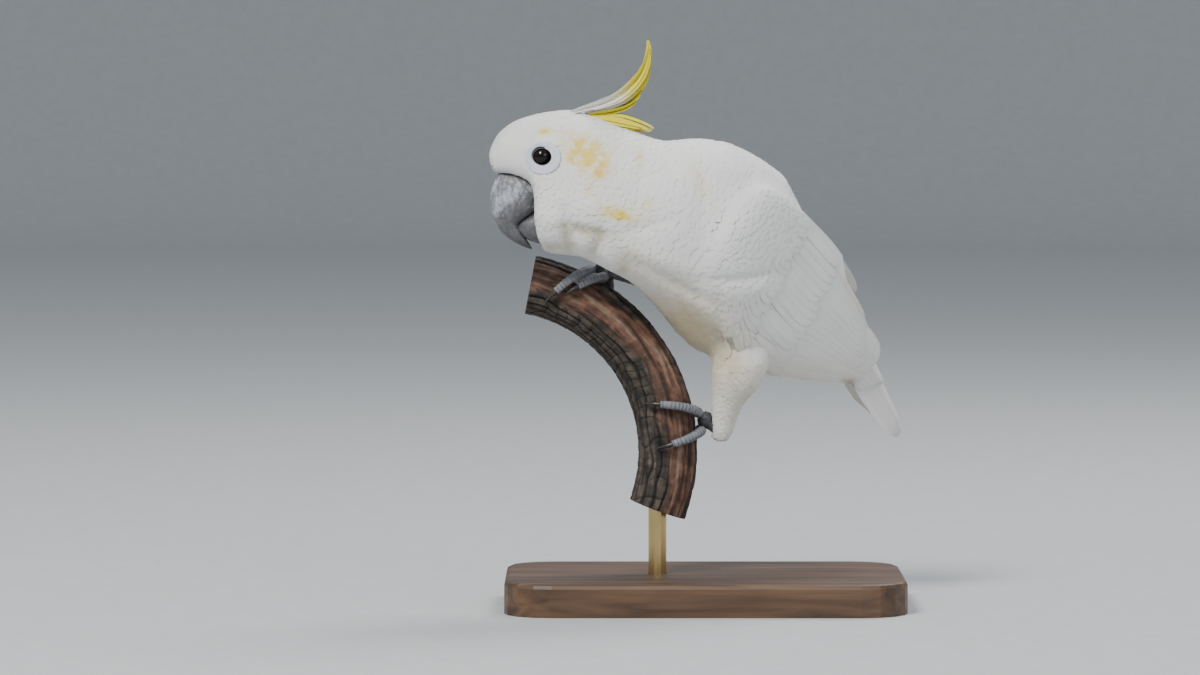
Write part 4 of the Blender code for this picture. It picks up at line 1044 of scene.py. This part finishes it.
# ---------------- feet and bough
def foot_part(side):
    """The toes and palm as one scaly skin, and the nodes it replaces."""
    nodes = [f"foot_{side}", *(f"toe_{i}_{side}" for i in range(1, 5))]
    points, faces, _ = blended(nodes, FOOT_VOXEL, FOOT_GROWN, 4)
    u = np.linspace(-0.12, 1.05, 80)
    reach = BOUGH_RADIUS + 3.7 - 0.8 * u
    lines = [
        on_bough(GRIP[side] + between(step_a, step_b, u), between(turn_a, turn_b, u), reach)
        for step_a, step_b, turn_a, turn_b in TOES[side]
    ]
    travel = [np.cumsum(np.linalg.norm(np.diff(line, axis=0, prepend=line[:1]), axis=1)) for line in lines]
    line = np.concatenate(lines)
    near = ((points[:, None] - line) ** 2).sum(-1).argmin(1)
    bough_out = unit(line[near] - on_bough_axis(line[near]))
    top = smooth(0.0, 0.7, dot(unit(points - line[near]), bough_out))
    scute = np.abs(np.mod(np.concatenate(travel)[near] / SCUTE_LENGTH, 1.0) - 0.5) * 2
    groove = smooth(0.72, 1.0, scute)
    cell = cells_at(points, SCALE_WIDTH)
    relief = -0.42 * groove * top - 0.30 * smooth(0.75, 0.0, cell) * (1 - top)
    points = points + point_normals(points, faces) * relief[:, None]
    amount = 0.75 * (1 - groove * top) * top + 0.55 * (1 - top) * smooth(0.2, 0.9, cell)
    colour = between(np.array((0.06, 0.06, 0.068)), np.array((0.26, 0.27, 0.295)), amount[:, None])
    return mesh_object(f"foot_skin_{side}", points, [faces], (), colour), nodes


def cells_at(points, size):
    """How far inside a scale each point is: 0 on the border between two scales."""
    cell = np.floor(points / size).astype(int)
    near = np.full((len(points), 2), 9.0)
    for step in NEIGHBOURS:
        c = cell + step
        h = (c * (73856093, 19349663, 83492791)).sum(1)
        jitter = np.stack([((h * k) % 1009) / 1009.0 for k in (31, 57, 91)], -1)
        d = np.linalg.norm(points / size - c - jitter, axis=1)
        near = np.sort(np.concatenate((near, d[:, None]), 1), 1)[:, :2]
    return near[:, 1] - near[:, 0]


def claw_parts(side):
    """All four claws of a foot, curved and tapering, as one piece, and the nodes they replace."""
    rings, rows, columns = [], 24, 16
    angle = circle(columns)[:, None]
    u = np.linspace(-0.1, 1.0, rows)
    share = clamp(u)
    radius = CLAW_RADIUS * np.sqrt(clamp(1 - u, 0.003)) * (1 - 0.35 * share)
    reach = BOUGH_RADIUS + 0.5 + radius + 0.8 * (1 - share) + 1.0 * np.sin(math.pi * share)
    for step_a, step_b, turn_a, turn_b in TOES[side]:
        away, skew = math.copysign(CLAW_TURN, turn_b), (step_b - step_a) / (turn_b - turn_a)
        line = on_bough(GRIP[side] + step_b + skew * away * u, turn_b + away * u, reach)
        ahead = unit(np.gradient(line, axis=0))
        out = unit(level(unit(line - on_bough_axis(line)), ahead))
        over = np.cross(ahead, out)
        ring = out[:, None] * np.cos(angle) * 1.1 + over[:, None] * np.sin(angle) * 0.85
        rings.append(line[:, None] + ring * radius[:, None, None])
    obj = mesh_object(f"claws_{side}", rings, repeated(tube_faces(rows, columns), 4, rows * columns))
    return obj, [f"claw_{i}_{side}" for i in range(1, 5)]


def bough_part():
    """The bough's bark in long plates and furrows, with flat sawn ends."""
    rows, columns, cap_rings = 300, 220, 12
    angle = np.linspace(BOUGH_FROM, BOUGH_TO, rows)[:, None]
    turn = np.linspace(0, 360, columns, endpoint=False)[None]
    round_ = np.radians(turn)
    run = np.radians(angle) * RING_RADIUS * np.ones_like(turn)
    flat = np.stack(alike(np.cos(round_) * 5.0, np.sin(round_) * 5.0, run * 0.13), -1)
    warp = wave_noise(flat * (1, 1, 1.6), 0.30, 4, 5)
    fissure = smooth(0.0, 0.6, np.abs(np.sin(round_ * 9.5 + 3.0 * warp + 0.05 * run)))
    cracks = smooth(0.0, 0.25, np.abs(np.sin(run * 0.42 + 5.0 * wave_noise(flat, 0.5, 3, 8))))
    fine = wave_noise(flat * (2.2, 2.2, 5.0), 1.1, 4, 9)
    bare = smooth(0.62, 0.92, np.cos(np.radians(turn - 62.0 + 26.0 * warp)))  # the ridge without bark
    rough = -1.5 * (1 - fissure) - 0.45 * (1 - cracks) + 0.22 * fine - 0.25
    smoother = -0.55 - 0.30 * (1 - smooth(0.0, 0.8, np.abs(np.sin(round_ * 17 + 1.5 * warp)))) + 0.06 * fine
    skin = on_bough(angle, turn, BOUGH_RADIUS + np.minimum(between(rough, smoother, bare), 0.12))
    # The sawn ends: rings that close in, and a fan round each centre.
    low, high = on_bough(BOUGH_FROM, 0, 0), on_bough(BOUGH_TO, 0, 0)
    share = np.linspace(0, 1, cap_rings + 2)[1:-1, None, None]
    tube = np.concatenate((between(low, skin[0], share), skin, between(high, skin[-1], share[::-1])))
    points = np.concatenate((tube.reshape(-1, 3), (low, high)))
    quads = grid_faces(len(tube), columns, closed=True).reshape(-1, columns, 4)
    here, centre = np.arange(columns), len(points) - 2
    after, last = np.roll(here, -1), centre - columns
    fans = np.concatenate([
        np.stack(np.broadcast_arrays(*corners), 1)
        for corners in ((after, here, centre), (here + last, after + last, centre + 1))
    ])
    bark_quads = quads[cap_rings:-cap_rings].reshape(-1, 4)
    cap_quads = np.concatenate((quads[:cap_rings], quads[-cap_rings:])).reshape(-1, 4)
    # Colours: the sawn wood's everywhere, then the bark's over it.
    dark, bark, red, fibre, pale = np.array((
        (0.010, 0.008, 0.007), (0.110, 0.085, 0.066), (0.17, 0.078, 0.048), (0.36, 0.25, 0.18),
        (0.42, 0.29, 0.16),
    ))
    off = np.linalg.norm(points - on_bough_axis(points), axis=1)
    grain = 0.5 + 0.5 * np.sin(off * 3.6 + 0.8 * wave_noise(points, 0.25, 3, 4))
    colour = pale * (0.72 + 0.28 * grain[:, None]) * (1 - 0.55 * smooth(14.0, 15.6, off))[:, None]
    fine = clamp(fine, -1, 1)
    fibres = 0.55 + 0.45 * clamp(wave_noise(flat * (3.0, 3.0, 1.2), 1.3, 4, 12) * 1.5, -1, 1)
    shade = between(dark, bark, (fissure * cracks * fibres * (0.8 + 0.4 * fine))[..., None])
    streaks = wave_noise(flat * (2.4, 2.4, 0.8), 1.0, 4, 31)
    stain = (0.80 + 0.35 * fine) * (1 - 0.75 * smooth(0.15, 0.6, streaks))
    shade = between(shade, red * stain[..., None], (bare * 0.92)[..., None])
    shade = between(shade, fibre, (0.45 * bare * smooth(0.2, 0.7, -streaks))[..., None])
    start = cap_rings * columns
    colour[start:start + rows * columns] = shade.reshape(-1, 3)
    return mesh_object("bark", points, [bark_quads, cap_quads, fans], (1, 2), clamp(colour))


# ---------------- materials
class Graph:
    """The nodes of one material."""

    def __init__(self, name):
        self.material = bpy.data.materials.new(name)
        self.material.use_nodes = True
        self.nodes = self.material.node_tree.nodes
        self.shader = self.nodes["Principled BSDF"]

    def put(self, node, inputs):
        """Links each input that is given a socket, and sets the others to their values."""
        for key, value in inputs.items():
            if isinstance(value, bpy.types.NodeSocket):
                self.material.node_tree.links.new(value, node.inputs[key])
            else:
                node.inputs[key].default_value = value
        return node

    def add(self, kind, inputs=None, output=0, **settings):
        """The output socket of a new node."""
        node = self.nodes.new(f"ShaderNode{kind}")
        for key, value in settings.items():
            setattr(node, key, value)
        return self.put(node, inputs or {}).outputs[output]

    def math(self, value, *steps):
        """Passes a value through math nodes one after another."""
        for operation, number in steps:
            value = self.add("Math", {0: value, 1: number}, operation=operation)
        return value

    def ramp(self, value, *stops):
        """A ramp between two colours, each given with its place."""
        node = self.nodes.new("ShaderNodeValToRGB")
        for element, (position, colour) in zip(node.color_ramp.elements, stops):
            element.position, element.color = position, (*colour, 1.0)
        return self.put(node, {"Fac": value}).outputs["Color"]


def finish(name, colour=None, roughness=0.6, mottle=(60.0, 0.04), relief=None, barbs=0.0, **inputs):
    """A procedural material, of one colour or the mesh's own paint. mottle is (scale per metre, dark share),
    relief is (scale per metre, depth in mm), and barbs are their number along a vane."""
    graph = Graph(name)
    place = graph.add("TexCoord", output="Object")
    if colour is None:
        paint = graph.add("Attribute", output="Color", attribute_name="paint")
    else:
        paint = (*colour, 1.0)
    scale, share = mottle
    noise = graph.add("TexNoise", {"Vector": place, "Scale": scale, "Detail": 5.0}, "Fac")
    darker = graph.ramp(noise, (0.38, (1 - share,) * 3), (0.62, (1.0,) * 3))
    mixed = {"Factor": 1.0, "A": paint, "B": darker}
    base = graph.add("Mix", mixed, "Result", data_type="RGBA", blend_type="MULTIPLY")
    inputs = {key.replace("_", " "): value for key, value in inputs.items()}
    strength, depth = (0.35, 0.05) if barbs else (0.8, relief[1] if relief else 0.0)
    if barbs:
        vane = graph.add("Attribute", output="Color", attribute_name="vane")
        split = graph.add("SeparateColor", {"Color": vane}).node
        off = graph.math(split.outputs["Red"], ("SUBTRACT", 0.5), ("ABSOLUTE", 0.0), ("MULTIPLY", -9.0))
        run = graph.math(split.outputs["Green"], ("MULTIPLY", barbs))
        height = graph.math(off, ("ADD", run), ("MULTIPLY", math.tau), ("SINE", 0.0))
    elif relief:
        height = graph.add("TexNoise", {"Vector": place, "Scale": relief[0], "Detail": 6.0}, "Fac")
    if barbs or relief:
        bump = {"Strength": strength, "Distance": depth * MM, "Height": height}
        inputs["Normal"] = graph.add("Bump", bump, "Normal")
    graph.put(graph.shader, {"Roughness": roughness, "Base Color": base, **inputs})
    return graph


def wood_finish():
    """Dark satin wood with long grain along the stand."""
    graph = finish("base_wood", (0.8, 0.8, 0.8), 0.5, relief=(420.0, 0.05))
    place = graph.add("TexCoord", output="Object")
    along_grain = graph.add("Mapping", {"Vector": place, "Scale": (3.0, 34.0, 34.0)})
    rings = {"Vector": along_grain, "Scale": 4.0, "Detail": 8.0, "Distortion": 0.6}
    wood = graph.ramp(graph.add("TexNoise", rings, "Fac"),
                      (0.35, (0.045, 0.024, 0.013)), (0.68, (0.135, 0.072, 0.038)))
    graph.put(graph.shader, {"Base Color": wood})
    return graph


FINISHES = {
    "feather": finish("feather", roughness=0.72, barbs=24.0, Sheen_Weight=0.15),
    "plume": finish("flight_feather", barbs=110.0),
    "down": finish("down", roughness=0.85, relief=(900.0, 0.15)),
    "eye": finish("eye_gloss", None, 0.05, (300.0, 0.1), Specular_IOR_Level=0.3),
    "bare": finish("bare_skin", None, 0.55, (500.0, 0.12), (1500.0, 0.12)),
    "scales": finish("scaly_skin", None, 0.62, (400.0, 0.25), (1600.0, 0.10)),
    "claw": finish("claw_horn", (0.035, 0.033, 0.034), 0.32, (300.0, 0.3), (700.0, 0.05)),
    "horn": finish("bill_horn", None, 0.5, (420.0, 0.3), (700.0, 0.12)),
    "bark": finish("bark", None, 0.85, (260.0, 0.35), (500.0, 0.5)),
    "wood": wood_finish(),
    "brass": finish("rod_brass", (0.62, 0.45, 0.20), 0.27, (90.0, 0.08), (1200.0, 0.02), Metallic=1.0),
    "floor": finish("floor_paper", (0.50, 0.515, 0.52), 0.9, relief=(300.0, 0.02)),
}


def coated(obj, kind):
    obj.data.materials.clear()
    obj.data.materials.append(FINISHES[kind].material)
    return obj


# ---------------- putting the bird together
def ride(obj, kind, slot, *nodes):
    """Gives a piece its finish and makes it ride, in place of these nodes."""
    coated(obj, kind)
    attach(obj, "root")
    if nodes:
        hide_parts(*nodes)


def outside_ring(points, scale=0.97):
    """True for points not over the bare ring of either eye."""
    off = np.hypot((points[:, 0] - RING[0]) / RING[2], (points[:, 2] - RING[1]) / RING[3])
    return off > scale


def make_hull():
    """The body that the feathers lie on, with the folds of its plumage."""
    points, faces, edges = blended([*FLESH, *FLIGHT], BODY_VOXEL, BODY_GROWN)
    points = eased(points, edges)
    x, z, side = unbent(points)
    raised = sum(bump_at(x, z, *fold[:5]) * fold[5] for fold in FOLDS) * smooth(4.0, 12.0, np.abs(side))
    hull = Surface(points + point_normals(points, faces) * raised[:, None], faces)
    lay_fields(hull, edges)
    return hull


def make_skin():
    """The skin without seams under the plumage, sunk a little so that the feathers cover it."""
    points, faces, edges = blended(FLESH, SKIN_VOXEL, BODY_GROWN)
    points = eased(points, edges)
    depth = np.where(unbent(points)[0] < HEAD_X, SKIN_DEPTH_HEAD, SKIN_DEPTH)[:, None]
    depth = neighbour_mean(depth, edges, 10)
    inward = -point_normals(points, faces)
    tree = Surface(points, faces).tree
    hits = [tree.ray_cast(p, d)[3] for p, d in zip((points + inward * 0.05).tolist(), inward.tolist())]
    thick = np.array([20.0 if hit is None else hit for hit in hits])[:, None]
    points = points + inward * neighbour_mean(np.minimum(depth, 0.3 * thick), edges, 2)
    for sign in (-1, 1):  # deeper behind the lids
        x, _, side = unbent(points)
        rho = np.hypot(x - EYE_X, points[:, 2] - EYE_Z) / 8.0
        points[:, 1] -= sign * 2.2 * smooth(1.0, 0.7, rho) * (side * sign > 4.0)
    return mesh_object("skin", points, [faces], (), plumage(points))


def lay_plumage(hull):
    """The small feathers, region by region."""
    bill = BVHTree.FromPolygons(*(v.tolist() for v in collected(("bill_upper", "bill_lower"))[:2]))
    clear = np.array([bill.find_nearest(p)[3] for p in hull.points.tolist()]) > BILL_ROOM
    clear &= outside_ring(hull.points, 1.0) | (np.abs(hull.points[:, 1] - HEAD_Y) < 9)
    station = hull.station
    head, near = station < HEAD_END, hull.points[:, 1] < HEAD_Y
    wing = (station >= WING_MARK) & (station < WING_MARK + COVERTS_END)
    regions = (  # name, where, rows and columns of a vane, crowding, depth of the roots, what a vane keeps to
        ("head_left", head & near, 6, 5, 0.65, 0.9, outside_ring),
        ("head_right", head & ~near, 6, 5, 0.65, 0.9, outside_ring),
        ("neck", (station >= HEAD_END) & (station < NECK_END), 7, 7, 0.62, 1.2, None),
        ("body", (station >= NECK_END) & (station < WING_MARK), 7, 7, 0.62, 1.2, None),
        ("wing_left", wing & np.char.startswith(hull.label, "wing_left"), 7, 7, 0.62, 1.2, None),
        ("wing_right", wing & np.char.startswith(hull.label, "wing_right"), 7, 7, 0.62, 1.2, None),
        ("legs", station >= LEG_MARK, 7, 5, 0.64, 1.2, None),
    )
    for name, where, rows, columns, crowd, depth, allowed in regions:
        coat = Coat(f"plumage_{name}", rows, columns)
        lay(coat, hull, scattered(hull, where & clear, crowd), depth, allowed)
        ride(coat.build(), "feather", "plumage")


def make_bird():
    hull = make_hull()
    ride(make_skin(), "down", "plumage", *FLESH)
    lay_plumage(hull)
    for side, sign in (("left", -1), ("right", 1)):
        ride(wing_bed(side), "down", "plumage", f"wing_{side}_secondaries")
        ride(wing_coat(side, hull).build(), "plume", "plumage", f"wing_{side}_primaries")
        ride(eyeball(side, sign), "eye", "eye", f"eye_{side}")
        ride(eyelids(side, sign, hull), "bare", "plumage")
        toes, nodes = foot_part(side)
        ride(toes, "scales", "foot", *nodes)
        claws, nodes = claw_parts(side)
        ride(claws, "claw", "claw", *nodes)
    ride(tail_coat().build(), "plume", "plumage", "tail")
    ride(crest_coat().build(), "plume", "crest", *(f"crest_{i}" for i in range(1, 8)))
    for part, node in zip(bill_parts(), ("bill_upper", "bill_lower")):
        ride(part, "horn", "bill", node)
    ride(bough_part(), "bark", "bark", "perch_bough")
    coated(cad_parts["stand_base"], "wood")
    coated(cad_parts["stand_rod"], "brass")


make_bird()


# ---------------- the stage
def make_stage():
    """A pale round floor that curves up at its far rim, out of the way of every view."""
    flat_to, bend, height = 5500.0, 900.0, 1500.0
    profile = [(r, 0.0) for r in (0.0, 400.0, 1500.0, 3500.0, flat_to)]
    profile += [
        (flat_to + bend * math.sin(a), bend - bend * math.cos(a)) for a in np.linspace(0, math.pi / 2, 20)[1:]
    ]
    profile += [(flat_to + bend, height)]
    radius, rise = np.array(profile).T[:, :, None]
    angle = circle(96)
    points = np.stack(alike(radius * np.cos(angle), radius * np.sin(angle), rise - 0.05), -1)
    points[0, :, :2] = 0.5 * np.stack((np.cos(angle), np.sin(angle)), -1)
    faces = grid_faces(len(profile), len(angle), closed=True)
    floor = mesh_object("floor", points, [faces, np.arange(len(angle))[None]])
    coated(floor, "floor")


def placed(name, data, at, turned):
    """An object for a light or the camera."""
    obj = bpy.data.objects.new(name, data)
    bpy.context.scene.collection.objects.link(obj)
    obj.location, obj.rotation_euler = at, turned
    return obj


def area_light(name, at, size, power, colour):
    light = bpy.data.lights.new(name, "AREA")
    light.shape, light.size, light.energy, light.color = "DISK", size, power, colour
    placed(name, light, at, (Vector(TARGET) - Vector(at)).to_track_quat("-Z", "Y").to_euler())


TARGET = (-0.05775, -0.01, 0.1488)
CAMERA_AWAY, VIEW_WIDTH, SENSOR = 3.0, 0.66, 36.0
CAMERA_TILT = math.radians(3.0)
make_stage()
area_light("key", (-1.1, -1.9, 2.4), 1.0, 108.0, (1.0, 0.985, 0.95))
area_light("fill", (1.6, -2.2, 1.3), 1.6, 18.0, (0.92, 0.96, 1.0))
area_light("rim", (0.8, 1.0, 1.9), 1.0, 26.0, (1.0, 1.0, 1.0))
world = bpy.data.worlds.new("studio")
world.use_nodes = True
background = world.node_tree.nodes["Background"].inputs
background["Color"].default_value, background["Strength"].default_value = (0.78, 0.84, 0.92, 1.0), 0.52
bpy.context.scene.world = world

camera = bpy.data.cameras.new("camera")
camera.sensor_width, camera.lens = SENSOR, SENSOR * CAMERA_AWAY / VIEW_WIDTH
back, up = CAMERA_AWAY * math.cos(CAMERA_TILT), CAMERA_AWAY * math.sin(CAMERA_TILT)
camera_at = (TARGET[0], TARGET[1] - back, TARGET[2] + up)
bpy.context.scene.camera = placed("camera", camera, camera_at, (math.pi / 2 - CAMERA_TILT, 0.0, 0.0))
